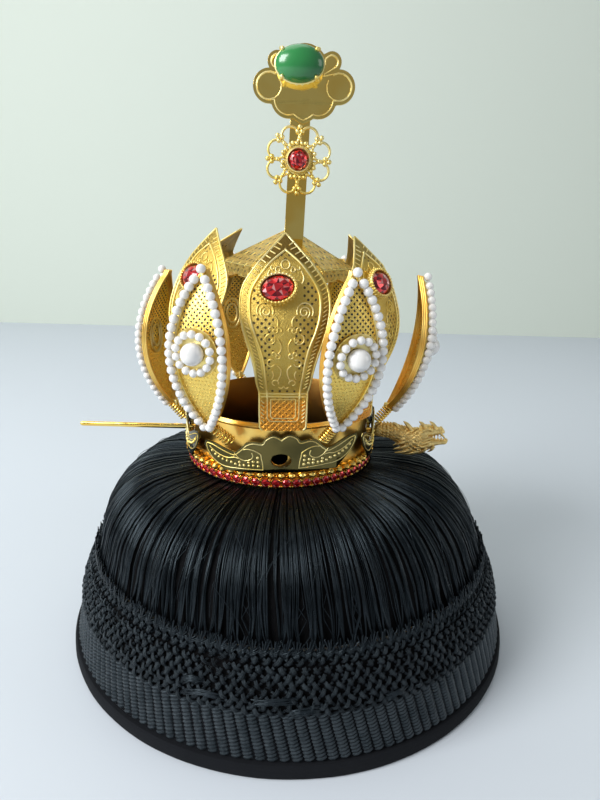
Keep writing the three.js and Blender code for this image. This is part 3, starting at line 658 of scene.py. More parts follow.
def etched_petal_finish(name, shade):
    """An inner petal: engraved ground with punched holes in places, a quilted tab below.
    Its peak, its border and, less, the field inside its arch are painted darker as a painted dark reflection;
    shade sets how dark the peak is."""
    finish = Finish(name, "etched_gold")
    x, arch, z = finish.flat()
    place = finish.place()
    grain = finish.noise(place, 1500.0, 4.0, 0.7)
    out, inside = x.size(), arch.size().above(1.0, 0.94)
    punched = 0
    for (near, far), (low, high) in PUNCHED_FIELDS:
        punched = out.within(near, far) * z.within(low, high) + punched
    holes = dots((out + z) * 0.7, (out - z) * 0.7, 2.2).above(0.46, 0.60) * punched.least(1) * inside
    crown = z.above(187.6, 189.4)
    tab = z.above(132.2, 131.6)
    quilt = diamonds(x, z - 0.6, 2.7)
    pierced = quilt.above(0.62, 0.74) * tab * out.above(5.3, 4.9)
    gold = finish.mix(grain.above(0.35, 0.65), PETAL_DEEP, PETAL_PALE)
    hem = (out - out / arch.size()).within(1.2, 3.4) * z.above(134, 137)
    # Painted dark reflection: the peak by shade, the border by half and the field inside the arch by a fifth.
    gold = finish.mix((crown * (shade - 0.35 * inside)).most(0.2 * inside).most(0.5 * hem), gold, GRIME_AND_PAINTED_SHADE)
    # Below the tab the petal's foot is painted orange: painted light bounced between the gold parts.
    gold = finish.mix(z.above(133, 128), gold, BOUNCE_ORANGE)
    dark = holes.most(pierced * 0.7)
    finish.set(Base_Color=finish.mix(dark, gold, PUNCHED), Metallic=1 - dark)
    finish.set(Roughness=0.26 + 0.18 * grain + 0.1 * inside + 0.3 * dark)
    finish.bump(grain * (0.25 + 0.25 * inside) + quilt * tab * 0.8 - dark, 0.0007, 0.8)
    return finish.material


def etched_outer_finish():
    """An outer petal: a pierced lattice above the flower, a stippled field below it."""
    finish = Finish("pierced_petal", "etched_gold")
    x, side, z = finish.flat()
    grain = finish.noise(finish.place(), 1300.0, 4.0, 0.7)
    field = side.size().above(0.80, 0.74)
    upper = z.above(34.5, 35.5) * field
    holes = diamonds(x, z, 2.5).above(0.50, 0.60) * upper
    specks = dots(x + z * 0.5, z, 1.7).above(0.5, 0.8) * z.above(31, 30) * field
    gold = finish.mix(grain.above(0.35, 0.65), BRASS_DEEP, GOLD_PALE)
    finish.set(Base_Color=finish.mix(holes, gold, HOLE), Metallic=1 - holes)
    finish.set(Roughness=0.2 + 0.16 * grain + 0.4 * holes)
    finish.bump(grain * 0.3 + specks * 0.5 - holes, 0.0007, 0.8)
    return finish.material


def pierced_roof_finish():
    """The roof's panels: rows of pin holes between raised grains."""
    finish = Finish("pierced_roof", "etched_gold")
    x, _, z = finish.flat()
    grain = finish.noise(finish.place(), 900.0, 4.0, 0.7)
    holes = dots(x * 0.62, z, 2.3).above(0.40, 0.60) * grain.above(0.48, 0.54)
    grains = dots(x * 0.62 + 1.1, z + 1.1, 4.6).above(0.40, 0.8)
    gold = finish.mix(grain.above(0.30, 0.60), ROOF_DEEP, BRASS_DEEP)
    # The raised grains are also painted paler: a painted highlight on them.
    gold = finish.mix(grains, gold, GOLD_PALE)
    finish.set(Base_Color=finish.mix(holes, gold, PUNCHED), Metallic=1 - holes)
    finish.set(Roughness=0.22 + 0.2 * grain)
    finish.bump(grain * 0.3 + grains - holes, 0.0008, 0.8)
    return finish.material


def pearl_finish():
    """Lacquered beads: white, faintly warm here and cool there, under a clear coat."""
    lacquer = {"Specular_IOR_Level": 0.6, "Coat_Weight": 1.0, "Coat_Roughness": 0.05}
    finish = Finish("pearl", "pearl", Roughness=0.2, **lacquer)
    cloud = finish.noise(finish.place(), 260.0, 2.0)
    finish.set(Base_Color=finish.mix(cloud, color(0.93, 0.88, 0.82), color(0.86, 0.85, 0.84)))
    return finish.material


def red_glass_finish():
    """Foil-backed glass: its facets are painted bright or dark in turn, as painted flashes, and a few
    pink-white, as painted glints.
    """
    finish = Finish("red_glass", "red_glass", Metallic=0.5, Coat_Weight=1.0, Coat_Roughness=0.03)
    flaw = finish.noise(finish.place(), 300.0, 2.0)
    facet, _, _ = finish.flat()
    dark, bright = color(0.16, 0.0, 0.006), color(0.95, 0.030, 0.030)
    # Painted light: each facet's shade picks dark or bright red, and the top shades turn pink-white as painted
    # glints.
    painted_flashes = finish.mix((facet + 0.3 * flaw).above(0.30, 0.95), dark, bright)
    finish.set(Base_Color=finish.mix(facet.above(0.88, 0.90) * 0.8, painted_flashes, color(1.0, 0.50, 0.46)))
    finish.set(Roughness=0.05 + 0.08 * flaw)
    return finish.material


def green_stone_finish():
    """A polished green stone with milky clouds, painted lighter towards the upper left as painted light."""
    finish = Finish("green_stone", "green_stone", Roughness=0.25, Coat_Weight=0.6, Coat_Roughness=0.12)
    place = finish.place()
    x, _, z = place.axes()
    milk = finish.noise(place, 120.0, 2.0)
    # Painted light: the colour lightens towards the upper left, where the window light comes from; the noise
    # is the stone's own clouding.
    share = (milk * 0.5 - x * 55 + z * 30 - 7.9).above(-0.6, 0.9)
    finish.set(Base_Color=finish.mix(share, color(0.005, 0.085, 0.022), color(0.030, 0.26, 0.062)))
    return finish.material


FINISHES = {
    "felt": felt_finish(),
    "cord": cord_finish(),
    "rib_cord": rib_finish(),
    "hair": hair_finish(),
    "under_hair": underhair_finish(),
    "gold": gold_finish("polished_gold", 0.05, 0.0010, BRASS_DEEP, BRASS_PALE),
    # Paler than the sheet gold: a painted highlight on the raised lines, settings and wire work.
    "bright_gold": gold_finish("bright_gold", 0.36, 0.0006, GOLD_PALE, GOLD_WHITE),
    "ring_gold": ring_finish(),
    "trim_gold": gold_finish("trim_gold", 0.14, 0.0010, AMBER, GOLD_PALE),
    # The collar plates' gold is painted dark olive: a painted reflection of the black hair and shade in front
    # of them.
    "mirror_gold_painted_dark": gold_finish("mirror_gold_painted_dark", 0.03, 0.0004, DARK_REFLECTION_DEEP, DARK_REFLECTION_PALE),
    "cast_gold": cast_gold_finish(),
    # The front petal's peak gets more painted dark reflection than the other petals' peaks.
    "front_petal": etched_petal_finish("etched_front", 0.9),
    "etched_petal": etched_petal_finish("etched_gold", 0.35),
    "etched_outer": etched_outer_finish(),
    "pierced_roof": pierced_roof_finish(),
    "pearl": pearl_finish(),
    "red": red_glass_finish(),
    "green": green_stone_finish(),
}


# ---- the cap -----------------------------------------------------------------------------

CAP_SEGMENTS = 148  # one knotted column of the net, or one rib of the band, each
RIM = {"inner": 112, "outer": 114.8, "top": 6}
BAND = {"foot_radius": 113.4, "foot": 6.3, "top_radius": 110, "top": 25}
NET = [(110, 25.3), (108.4, 32), (105.4, 39.5), (101.2, 46.7)]
HAIR = [(99.4, 47), (97.6, 56), (95, 64.5), (90.4, 72.5), (83.8, 79.6), (74.6, 85.2), (61, 88.2), (44, 89.2)]
CAP_OVAL = {"share": 0.012, "turn": -25}
RIM_SHAPE = {"depth": 0.012, "corners": 0.03, "top": 56}  # four soft corners, gone at the top
SHIFT = {"low": 84, "high": 89.6}  # between these heights the hair turns to the crown's axis
SETTLING = {"half": 130, "top": 93, "levels": 63, "across": 15}


def smoothstep(value, low, high):
    share = min(max((value - low) / (high - low), 0), 1)
    return share * share * (3 - 2 * share)


def lattice_box(name, across, levels, half, low, high, y=0):
    """An upright lattice between two heights, with straight lines between its points."""
    data = bpy.data.lattices.new(name)
    data.points_u = data.points_v = across
    data.points_w = levels
    data.interpolation_type_u = data.interpolation_type_v = data.interpolation_type_w = "KEY_LINEAR"
    lattice = added(name, data)
    lattice.scale = (2 * half, 2 * half, high - low)
    lattice.location = (0, y, (low + high) / 2)
    return lattice


def make_settling():
    """The lattice that gives the round cap its outline and leads its top to the crown."""
    half, top = SETTLING["half"], SETTLING["top"]
    lattice = lattice_box("settling", SETTLING["across"], SETTLING["levels"], half, 0, top)
    for point in lattice.data.points:
        x, y, z = 2 * half * point.co.x, 2 * half * point.co.y, top * (point.co.z + 0.5)
        rise = smoothstep(z, SHIFT["low"], SHIFT["high"])
        azimuth = math.atan2(x, -y)
        swell = 1 + CAP_OVAL["share"] * cos(2 * (azimuth - radians(CAP_OVAL["turn"]))) * (1 - rise)
        rim = RIM_SHAPE["depth"] * cos(2 * azimuth) + RIM_SHAPE["corners"] * (1 - cos(4 * azimuth)) / 2
        swell += rim * (1 - smoothstep(z, 0, RIM_SHAPE["top"]))
        point.co_deform = ((x * swell + CROWN_X * rise) / (2 * half), y * swell / (2 * half), point.co.z)
    return lattice


def settled(piece):
    moved(piece)
    return modified(piece, "LATTICE", object=SETTLING_LATTICE)


def lowered(profile, depth):
    """A profile of (radius, z) moved in square to itself."""
    line = []
    for i, (radius, z) in enumerate(profile):
        r0, z0 = profile[max(i - 1, 0)]
        r1, z1 = profile[min(i + 1, len(profile) - 1)]
        length = math.hypot(r1 - r0, z1 - z0)
        line.append((radius - depth * (z1 - z0) / length, z - depth * (r0 - r1) / length))
    return line


def backing(name, profile, outer, inner):
    """A closed cloth wall behind a profile, between two depths."""
    wall = turned(name, lowered(profile, outer) + lowered(profile, inner)[::-1], CAP_SEGMENTS)
    return smooth(settled(wall), 60)


def uneven(piece, size, strength, seed):
    """Pushes a mesh in and out a little, as handwork is uneven."""
    texture = bpy.data.textures.new(f"uneven_{seed}", "CLOUDS")
    texture.noise_scale = size
    texture.noise_depth = 1
    spot = added("spot")
    spot.location = (37 * seed, 11 * seed, 5 * seed)
    bpy.context.view_layer.update()
    space = {"texture_coords": "OBJECT", "texture_coords_object": spot}
    modified(piece, "DISPLACE", texture=texture, strength=strength, mid_level=0.5, **space)
    discard(spot)
    bpy.data.textures.remove(texture)
    return piece


def make_edging():
    inner, outer, top = RIM["inner"], RIM["outer"], RIM["top"]
    section = [
        (inner, 0), (outer - 0.9, 0), (outer - 0.25, 0.4), (outer, 1.3), (outer - 0.1, 3.4),
        (outer - 0.4, 5), (outer - 1, 5.9), (inner, top),
    ]
    edging = turned("edging", section, CAP_SEGMENTS)
    uneven(edging, 14, 0.25, 1)
    kept(smooth(settled(edging), 50), "felt_edging", "felt", "cap_edging")


RIB = {"half_width": 2.2, "depth": 1.9, "windings": 13, "pinch": 0.74, "slant": 0.55}


def make_rib():
    """One upright cord of the band, wound with thread."""
    pitch = (BAND["top"] - BAND["foot"] + 0.6) / RIB["windings"]
    stand = {"location": (0, -BAND["foot_radius"] + RIB["depth"] + 0.2, BAND["foot"] - 0.3)}
    rib = started("circle", "rib", vertices=8, radius=1, fill_type="NGON", **stand)
    with editing(rib, "FACE"):
        bpy.ops.mesh.select_all(action="SELECT")
        wide = RIB["pinch"] * Vector((RIB["half_width"], RIB["depth"], 1))
        bpy.ops.transform.resize(value=(wide.x, wide.y, 1))
        for _ in range(RIB["windings"]):
            for scale in (1 / RIB["pinch"], RIB["pinch"]):
                step = {"value": (0, 0, pitch / 2)}
                bpy.ops.mesh.extrude_region_move(TRANSFORM_OT_translate=step)
                bpy.ops.transform.resize(value=(scale, scale, 1))
    moved(outwards(rib))
    flat = rib.data.attributes.new("flat", "FLOAT_VECTOR", "POINT")
    for point, vert in zip(flat.data, rib.data.vertices):
        point.vector = (vert.co.x, 0, (vert.co.z - BAND["foot"]) / pitch)
    slant = Matrix.Identity(4)
    slant[2][0] = RIB["slant"]
    drop = math.atan((BAND["foot_radius"] - BAND["top_radius"]) / (BAND["top"] - BAND["foot"]))
    foot = Matrix.Translation((0, -BAND["foot_radius"], BAND["foot"]))
    lean = foot @ Matrix.Rotation(-drop, 4, "X") @ foot.inverted()
    return moved(rib, slant, lean)


def make_band():
    profile = [(BAND["foot_radius"], BAND["foot"] - 0.2), (BAND["top_radius"], BAND["top"])]
    kept(backing("band_lining", profile, 1.5, 2.6), "band_lining", "felt")
    ribs = around(make_rib(), CAP_SEGMENTS)
    uneven(ribs, 3.2, 0.35, 2)
    uneven(ribs, 22, 0.5, 3)
    kept(smooth(settled(ribs)), "ribbed_band", "rib_cord", "cap_cord_band")


KNOT_ROWS = 9
# A knot is two bundles of thread that cross: their slope, half length, strands and height.
KNOT_BUNDLES = [
    {"slope": 52, "half": 2.0, "strands": 3, "out": 1.2},
    {"slope": -40, "half": 1.7, "strands": 2, "out": 0.5},
]
THREAD = 0.36


def make_column(seed):
    """A column of the net: one knot for each row, every other row half a step aside."""
    chance = random.Random(seed)
    pitch = 360 / CAP_SEGMENTS
    routes = []
    for row in range(KNOT_ROWS):
        radius, z = curve_through(NET, (row + 0.35) / KNOT_ROWS)
        aside = radians((0.25 if row % 2 else -0.25) * pitch + chance.uniform(-0.22, 0.22))
        flip = 1 if row % 2 else -1
        for bundle in KNOT_BUNDLES:
            slope = radians(flip * bundle["slope"] + chance.uniform(-15, 15))
            half = bundle["half"] * chance.uniform(0.85, 1.15)
            lift = bundle["out"] * chance.uniform(0.85, 1.2)
            for strand in range(bundle["strands"]):
                off = (strand - (bundle["strands"] - 1) / 2) * 1.45 * THREAD
                route = []
                for i in range(5):
                    along = i / 2 - 1
                    across = half * along * cos(slope) - off * sin(slope)
                    up = half * along * sin(slope) + off * cos(slope)
                    out = radius - 1.5 + lift * (1.25 - along * along) - 0.35 * abs(off)
                    angle = aside + across / radius
                    route.append((out * sin(angle), -out * cos(angle), z + up))
                routes.append(route)
    return wires("column", routes, THREAD, corners=4)


def make_bow(seed):
    """The topmost knot: a sheaf of hair tied at the waist, its loose ends standing out."""
    chance = random.Random(seed)
    radius, z = NET[-1]
    routes = []
    for i in range(9):
        spread = (i - 4) / 4
        reach = chance.uniform(1.8, 5.4)
        foot = (spread * 1.9 + chance.uniform(-0.4, 0.4), -radius - 0.2, z - 3.8)
        waist = (spread * 0.4, -radius - 0.6, z - 0.6)
        top = (spread * 2.1 + 0.8 + chance.uniform(-0.7, 0.7), -radius + chance.uniform(-0.4, 1.6), z + reach)
        routes.append(smoothed([foot, waist, top], 4))
    for lift in (-1.2, -0.5, 0.3):
        start = (-2 + chance.uniform(-0.6, 0.3), -radius + 0.3, z + lift - 1.2)
        middle = (0, -radius - 0.95, z + lift - 0.2)
        end = (2 + chance.uniform(-0.3, 0.7), -radius + 0.1, z + lift + 1)
        routes.append(smoothed([start, middle, end], 4))
    return wires("bow", routes, 0.3, corners=4)


# Bunches of loose thread on the net: azimuth, height and length.
LOOSE_THREADS = [
    (-17, 30.5, 16), (-20, 34, 9), (-2, 30.8, 17), (4, 27.6, 12), (24, 29, 10), (150, 31, 14), (95, 33, 12),
]


def make_loose_threads():
    """Where the cord's ends were laid along the net."""
    chance = random.Random(7)
    routes = []
    for azimuth, z, long in LOOSE_THREADS:
        for _ in range(14):
            half = 0.5 * long * chance.uniform(0.7, 1.1) / 1.9
            rise, sag = chance.uniform(-1.3, 1.1), chance.uniform(0.2, 2.4)
            route = []
            for i in range(7):
                share = i / 3 - 1
                angle = radians(azimuth + share * half)
                height = z + rise - sag * share * share + 0.8 * share
                radius = at_height([(b, a) for a, b in NET], height)[0]
                radius += chance.uniform(0.2, 0.5) - 1.3 * abs(share) ** 3
                route.append((radius * sin(angle), -radius * cos(angle), height))
            routes.append(route)
    return wires("loose_threads", routes, 0.3, corners=4)


def make_net():
    lining = backing("net_lining", [(BAND["top_radius"], BAND["top"] - 0.3), *NET], 1.7, 2.6)
    kept(lining, "net_lining", "under_hair")
    kinds = [make_column(seed) for seed in range(8)]
    chance = random.Random(5)
    places = []
    for i in range(CAP_SEGMENTS):
        places.append((chance.randrange(len(kinds)), turn_z(i * 360 / CAP_SEGMENTS)))
    columns = [copied(kinds[kind], place) for kind, place in places]
    discard(*kinds)
    half = CAP_SEGMENTS // 2
    for side, some in (("right", columns[:half]), ("left", columns[half:])):
        knots = uneven(joined("knots", some), 9, 0.7, 4)
        kept(smooth(settled(knots)), f"knotted_net_{side}", "cord", "cap_knotted_net")
    bows = [make_bow(seed) for seed in range(6)]
    row = [copied(bows[i * 5 % 6], turn_z(i * 360 / CAP_SEGMENTS)) for i in range(CAP_SEGMENTS)]
    discard(*bows)
    ties = joined("ties", [*row, make_loose_threads()])
    kept(smooth(settled(ties)), "net_ties", "hair")


STRANDS = {"per_lock": 20, "bundles": 5, "steps": 13, "radius": 0.18, "depth": 1.9}
HAIR_SPREAD = 1.1  # how far the locks stand out over their knots


def hair_point(azimuth, share, depth):
    """A point under the hair's outer surface: degrees, share of the way up and depth."""
    radius, z = curve_through(HAIR, share)
    ahead_radius, ahead_z = curve_through(HAIR, min(share + 0.02, 1))
    behind_radius, behind_z = curve_through(HAIR, max(share - 0.02, 0))
    along = Vector((ahead_radius - behind_radius, ahead_z - behind_z)).normalized()
    depth -= HAIR_SPREAD * max(0, 1 - share / 0.16)
    radius -= depth * along.y
    z += depth * along.x
    angle = radians(azimuth)
    return (radius * sin(angle), -radius * cos(angle), z)


# Where locks have drawn apart: degrees, how far up, and how wide in degrees.
PARTINGS = [
    (-28, 0.42, 1.1), (-18, 0.2, 0.8), (-9, 0.17, 1), (-3, 0.13, 0.7), (4, 0.14, 1.2), (10, 0.2, 0.9),
    (17, 0.15, 0.7), (31, 0.5, 0.8), (140, 0.3, 1.3), (205, 0.4, 1.1),
]


def parted(azimuth, share):
    """Degrees moved away from the nearest parting."""
    shift = 0
    for middle, height, wide in PARTINGS:
        away = (azimuth - middle + 180) % 360 - 180
        if abs(away) < 3 * wide:
            near = (1 - abs(away) / (3 * wide)) * max(0, 1 - abs(share - height) / 0.26)
            shift += math.copysign(wide * near, away)
    return shift


def make_strands(first, last):
    """The strands of some of the locks, which start together at their knots."""
    chance = random.Random(11 + first)
    pitch = 360 / CAP_SEGMENTS
    routes = []
    for lock in range(first, last):
        pull = chance.uniform(-0.35, 0.35)
        bundles = []
        for _ in range(STRANDS["bundles"]):
            sunk = STRANDS["depth"] * chance.random() ** 1.6
            bundles.append((chance.uniform(-0.72, 0.72), sunk, chance.uniform(-0.55, 0.55)))
        for strand in range(STRANDS["per_lock"]):
            middle, sunk, lead = bundles[strand % STRANDS["bundles"]]
            offset = middle + chance.uniform(-0.13, 0.13)
            depth = sunk + chance.uniform(-0.1, 0.3) * min(sunk, 1)
            sway, phase = chance.uniform(0, 0.2), chance.uniform(0, 2 * pi)
            drift = lead + chance.uniform(-0.12, 0.12)
            route = []
            for i in range(STRANDS["steps"]):
                share = i / (STRANDS["steps"] - 1)
                fan = 0.12 + 0.88 * min(share / 0.22, 1) ** 0.7
                wave = sway * sin(phase + 7 * share) * min(share * 4, 1)
                azimuth = (lock + 0.5) * pitch + pitch * (offset * fan + (pull + drift * share) * fan) + wave
                azimuth += parted(azimuth, share)
                route.append(hair_point(azimuth, share, depth + 0.25))
            routes.append(route)
    return wires("strands", routes, STRANDS["radius"], corners=4)


FLYAWAYS = 60


def make_flyaways():
    """Single hairs that cross the others."""
    chance = random.Random(23)
    routes = []
    for _ in range(FLYAWAYS):
        azimuth = chance.uniform(0, 360)
        start, long = chance.uniform(0.02, 0.55), chance.uniform(0.2, 0.42)
        drift = chance.uniform(-9, 9)
        lift = chance.uniform(0.2, 0.9)
        route = []
        for i in range(9):
            share = i / 8
            out = lift * sin(pi * share)
            route.append(hair_point(azimuth + drift * share**1.5, start + long * share, 0.2 - out))
        routes.append(route)
    return wires("flyaways", routes, 0.13, corners=4)


def make_hair():
    shell = backing("hair_ground", [(99.9, 46.5), *HAIR[1:-1], (41, 89.3)], 1.9, 2.4)
    kept(shell, "hair_ground", "under_hair")
    third = CAP_SEGMENTS // 3
    parts = [(0, third), (third, 2 * third), (2 * third, CAP_SEGMENTS)]
    names = ["combed_hair_right", "combed_hair_back", "combed_hair_left"]
    for name, (first, last) in zip(names, parts):
        strands = settled(make_strands(first, last))
        kept(smooth(strands), name, "hair", "cap_hair")
    kept(smooth(settled(make_flyaways())), "stray_hairs", "hair")


SETTLING_LATTICE = make_settling()
make_edging()
make_band()
make_net()
make_hair()
discard(SETTLING_LATTICE)


# ---- the crown's ring, stone trim and collar -----------------------------------------------

RING = {"foot": 89.6, "top": 119, "foot_radius": 44.6, "top_radius": 44, "wall": 1.2}
PIN_HOLE = {"radius": 3.6, "turn": 90, "z": 102.5}
SPARE_HOLE = {"radius": 4, "turn": 1.4, "z": 103.6}


def cut_by(piece, tool):
    modified(piece, "BOOLEAN", operation="DIFFERENCE", object=tool, solver="EXACT")
    discard(tool)
    return piece


def make_ring():
    foot, top, wall = RING["foot"], RING["top"], RING["wall"]
    low, high = RING["foot_radius"], RING["top_radius"]
    section = [
        (low, foot), (lerp(low, high, 0.9), top - 2.6), (high + 0.5, top - 2.2), (high + 0.7, top - 1.5),
        (high + 0.4, top - 0.9), (high, top - 0.5), (high - 0.25, top), (high - wall + 0.2, top),
        (high - wall, top - 0.3), (low - wall, foot),
    ]
    ring = turned("ring", section, 160)
    for hole in (SPARE_HOLE, PIN_HOLE):
        place = {"location": (0, 0, hole["z"]), "rotation": (pi / 2, 0, 0)}
        drill = started("cylinder", "drill", vertices=32, radius=hole["radius"], depth=4 * low, **place)
        cut_by(ring, moved(drill, turn_z(hole["turn"])))
    kept(smooth(ring, 35), "ring_wall", "ring_gold", "crown_ring", at=CROWN)


TRIM = {"count": 62, "radius": 44.95, "red_z": 91.7, "gold_z": 95.4, "stone": 2.15}
GOLDEN_STEP = 0.618  # leads from one facet's shade to the next, with no two near ones alike


def facet_place(facet):
    """Its height, how far out it is and its bearing, counted from just before the x axis.
    Facets are shaded in this order, because extrude numbers them anew in each run."""
    x, y, z = facet.center
    return round(z, 2), round(math.hypot(x, y), 2), (math.atan2(y, x) + 0.05) % (2 * pi)


def gem(name, rings, corners, half=(1, 1)):
    """A cut stone that faces up: each ring (share of the half sizes, z) is turned half a
    facet against the one below it. Each facet keeps a shade as the attribute "flat"."""
    share, z = rings[0]
    stone = started("circle", name, vertices=corners, radius=share, fill_type="NGON", location=(0, 0, z))
    with editing(stone, "FACE"):
        bpy.ops.mesh.select_all(action="SELECT")
        for next_share, next_z in rings[1:]:
            step = {"value": (0, 0, next_z - z)}
            bpy.ops.mesh.extrude_region_move(TRANSFORM_OT_translate=step)
            z = next_z
            scale = next_share / share
            bpy.ops.transform.resize(value=(scale, scale, 1), center_override=(0, 0, z))
            half_facet = {"value": pi / corners, "orient_axis": "Z", "center_override": (0, 0, z)}
            bpy.ops.transform.rotate(**half_facet)
            share = next_share
        bpy.ops.mesh.select_all(action="SELECT")
        bpy.ops.mesh.quads_convert_to_tris(quad_method="SHORTEST_DIAGONAL")
    stone = moved(outwards(stone), Matrix.Diagonal((*half, 1, 1)))
    shades = stone.data.attributes.new("flat", "FLOAT_VECTOR", "FACE")
    for i, facet in enumerate(sorted(stone.data.polygons, key=facet_place)):
        shades.data[facet.index].vector = (i * GOLDEN_STEP % 1, 0, 0)
    return stone


def facing_front(across, out, up, turn=0, lean=0):
    """Stands what faces up on the front, out from the axis; lean tips its face up."""
    face = Matrix.Rotation(radians(90 - lean), 4, "X") @ turn_z(turn)
    return Matrix.Translation((across, -out, up)) @ face


def make_trim():
    radius, stone, count = TRIM["radius"], TRIM["stone"], TRIM["count"]
    red = gem("red", [(0.7, 0), (1, 0.5), (0.62, 1.1)], 8, (stone, stone))
    red = around(moved(red, facing_front(0, radius + 0.9, TRIM["red_z"], lean=-6)), count)
    kept(red, "trim_stones", "red", at=CROWN)
    cup = started("cylinder", "cup", vertices=10, radius=stone + 0.12, depth=1.4, location=(0, 0, 0.4))
    parts = [moved(cup, facing_front(0, radius, TRIM["red_z"], lean=-6))]
    pitch = 2 * pi * (radius + 1.5) / count
    for side in (-1, 1):
        for up in (-1.35, 1.35):
            claw = started("ico_sphere", "claw", subdivisions=1, radius=0.62)
            shape = Matrix.Diagonal((0.75, 1.2, 1, 1))
            where = Matrix.Translation((side * 0.42 * pitch, -radius - 1.35, TRIM["red_z"] + up))
            parts.append(moved(claw, shape, where))
    dome = gem("dome", [(1, 0), (1, 1.9), (0.7, 2.9), (0.3, 3.4)], 8, (2.05, 1.8))
    parts.append(moved(dome, facing_front(0.5 * pitch, radius, TRIM["gold_z"], lean=10)))
    grain = gem("grain", [(1, 0), (0.8, 0.7), (0.3, 1.1)], 6, (0.8, 0.8))
    parts.append(moved(grain, facing_front(0, radius + 0.3, TRIM["gold_z"] - 0.4)))
    settings = around(joined("settings", parts), count)
    wall = turned("wall", [(radius, 89.8), (radius + 0.5, 89.8), (radius + 0.5, 96.2), (radius, 96.4)], 124)
    rope = []
    for z, out in ((90.2, 1.1), (93.4, 1.25)):
        turns = 3 * count
        route = []
        for i in range(turns * 4):
            angle, twist = 2 * pi * i / (turns * 4), pi * i / 2
            ring = radius + out + 0.28 * cos(twist)
            route.append((ring * sin(angle), -ring * cos(angle), z + 0.28 * sin(twist)))
        rope.append(route)
    ropes = wires("ropes", rope, 0.26, corners=4, ring=True)
    kept(joined("trim", [settings, wall, ropes]), "trim_settings", "trim_gold", "stone_trim", at=CROWN)


# Half of a collar plate's edge, its border line, scrolls and dots: degrees from its middle, z.
COLLAR_EDGE = [
    (31, 96.8), (40, 104.8), (43, 109.4), (42, 111.8), (37, 111.2), (30, 108.6), (25, 107.2), (22, 109.2),
    (19, 111.9), (15, 112.6), (10.5, 112), (8.5, 114.2), (4.6, 115.7), (2, 115), (0, 113.9),
]
COLLAR_LINES = [
    [(9.6, 99.2), (21.5, 99.6), (31, 100.2), (37, 103), (40.6, 107), (41.4, 110.2)],
    [(41, 110.4), (37.4, 109.8), (31, 107.4), (25.6, 105.9), (23.8, 106.6), (21, 108.6), (18.4, 110.6),
     (15, 111.5), (11.2, 111), (9.4, 111.4), (8, 113.2), (4.6, 114.6), (2.2, 114), (0, 112.7)],
    [(39.6, 109), (36, 106.6), (32, 105), (28.4, 104.4), (25.6, 104.8), (23, 104.4)],
    [(10.6, 104.6), (11, 106.4), (12.6, 107.4), (15, 108.4), (18, 108.9), (20.4, 108.6)],
    [(15.8, 107.2), (15.2, 105.4), (16.6, 104), (19.6, 103.5), (22.7, 104.6), (25.4, 107)],
    [(9.6, 99.2), (9.9, 102), (10.6, 104.6)],
]
COLLAR_DOTS = [
    (12.2, 100.9), (12.4, 102.9), (12.6, 104.9), (14.8, 101.2), (15, 103), (17.2, 101.1), (17.4, 102.6),
    (19.9, 101.2), (22.2, 101.1), (22.4, 102.6), (24.6, 101.6), (26.9, 102.4), (29.4, 102.8), (31.8, 103.4),
    (34, 104.4), (36, 105.4), (38, 107),
]
COLLAR = {"radius": 47.3, "flare": 3.6, "half": 43, "turn": 2.6, "foot": 96.8, "sheet": 0.8}
COLLAR_PLACES = {
    "front": {"turn": 0, "tip": 3.5, "moon_z": 103.3},
    "right": {"turn": 90, "tip": 0, "moon_z": 102.2},
    "back": {"turn": 180, "tip": 0, "moon_z": 103.3},
    "left": {"turn": 270, "tip": 0, "moon_z": 102.2},
}
MOON = {"half_width": 4.6, "half_height": 3.2}


def collar_point(azimuth, z, tip=0, lift=0):
    """A place on a collar plate's face, tipped in its own plane, lifted off it."""
    radius = COLLAR["radius"] + COLLAR["flare"] * (azimuth / COLLAR["half"]) ** 2
    angle = radians(azimuth)
    z += radius * sin(angle) * math.tan(radians(tip))
    return ((radius + lift) * sin(angle), -(radius + lift) * cos(angle), z)


def cutout(name, outline, holes=()):
    """A flat piece cut from sheet, its outline in x and z, with holes."""
    curve = bpy.data.curves.new(name, "CURVE")
    curve.dimensions = "2D"
    curve.fill_mode = "BOTH"
    for edge in (outline, *holes):
        spline = curve.splines.new("POLY")
        spline.points.add(len(edge) - 1)
        for point, (x, z) in zip(spline.points, edge):
            point.co = (x, z, 0, 1)
        spline.use_cyclic_u = True
    return moved(as_mesh(name, curve), Matrix.Rotation(pi / 2, 4, "X"))


def diced(piece, step, count):
    """Cuts faces across at even steps along X, so that the piece can be bent."""
    with editing(piece):
        for i in range(-count, count + 1):
            bpy.ops.mesh.select_all(action="SELECT")
            bpy.ops.mesh.bisect(plane_co=(i * step, 0, 0), plane_no=(1, 0, 0))
    return piece


def ellipse(half_width, half_height, count, x=0, z=0):
    angles = [2 * pi * i / count for i in range(count)]
    return [(x + half_width * cos(a), z + half_height * sin(a)) for a in angles]


def make_collar_form():
    """The flared surface that the collar plates are pressed onto."""
    line = wires("form", [[collar_point(azimuth, 90) for azimuth in range(-48, 49, 2)]], 0)
    with editing(line):
        bpy.ops.mesh.select_all(action="SELECT")
        bpy.ops.mesh.extrude_edges_move(TRANSFORM_OT_translate={"value": (0, 0, 30)})
    return line


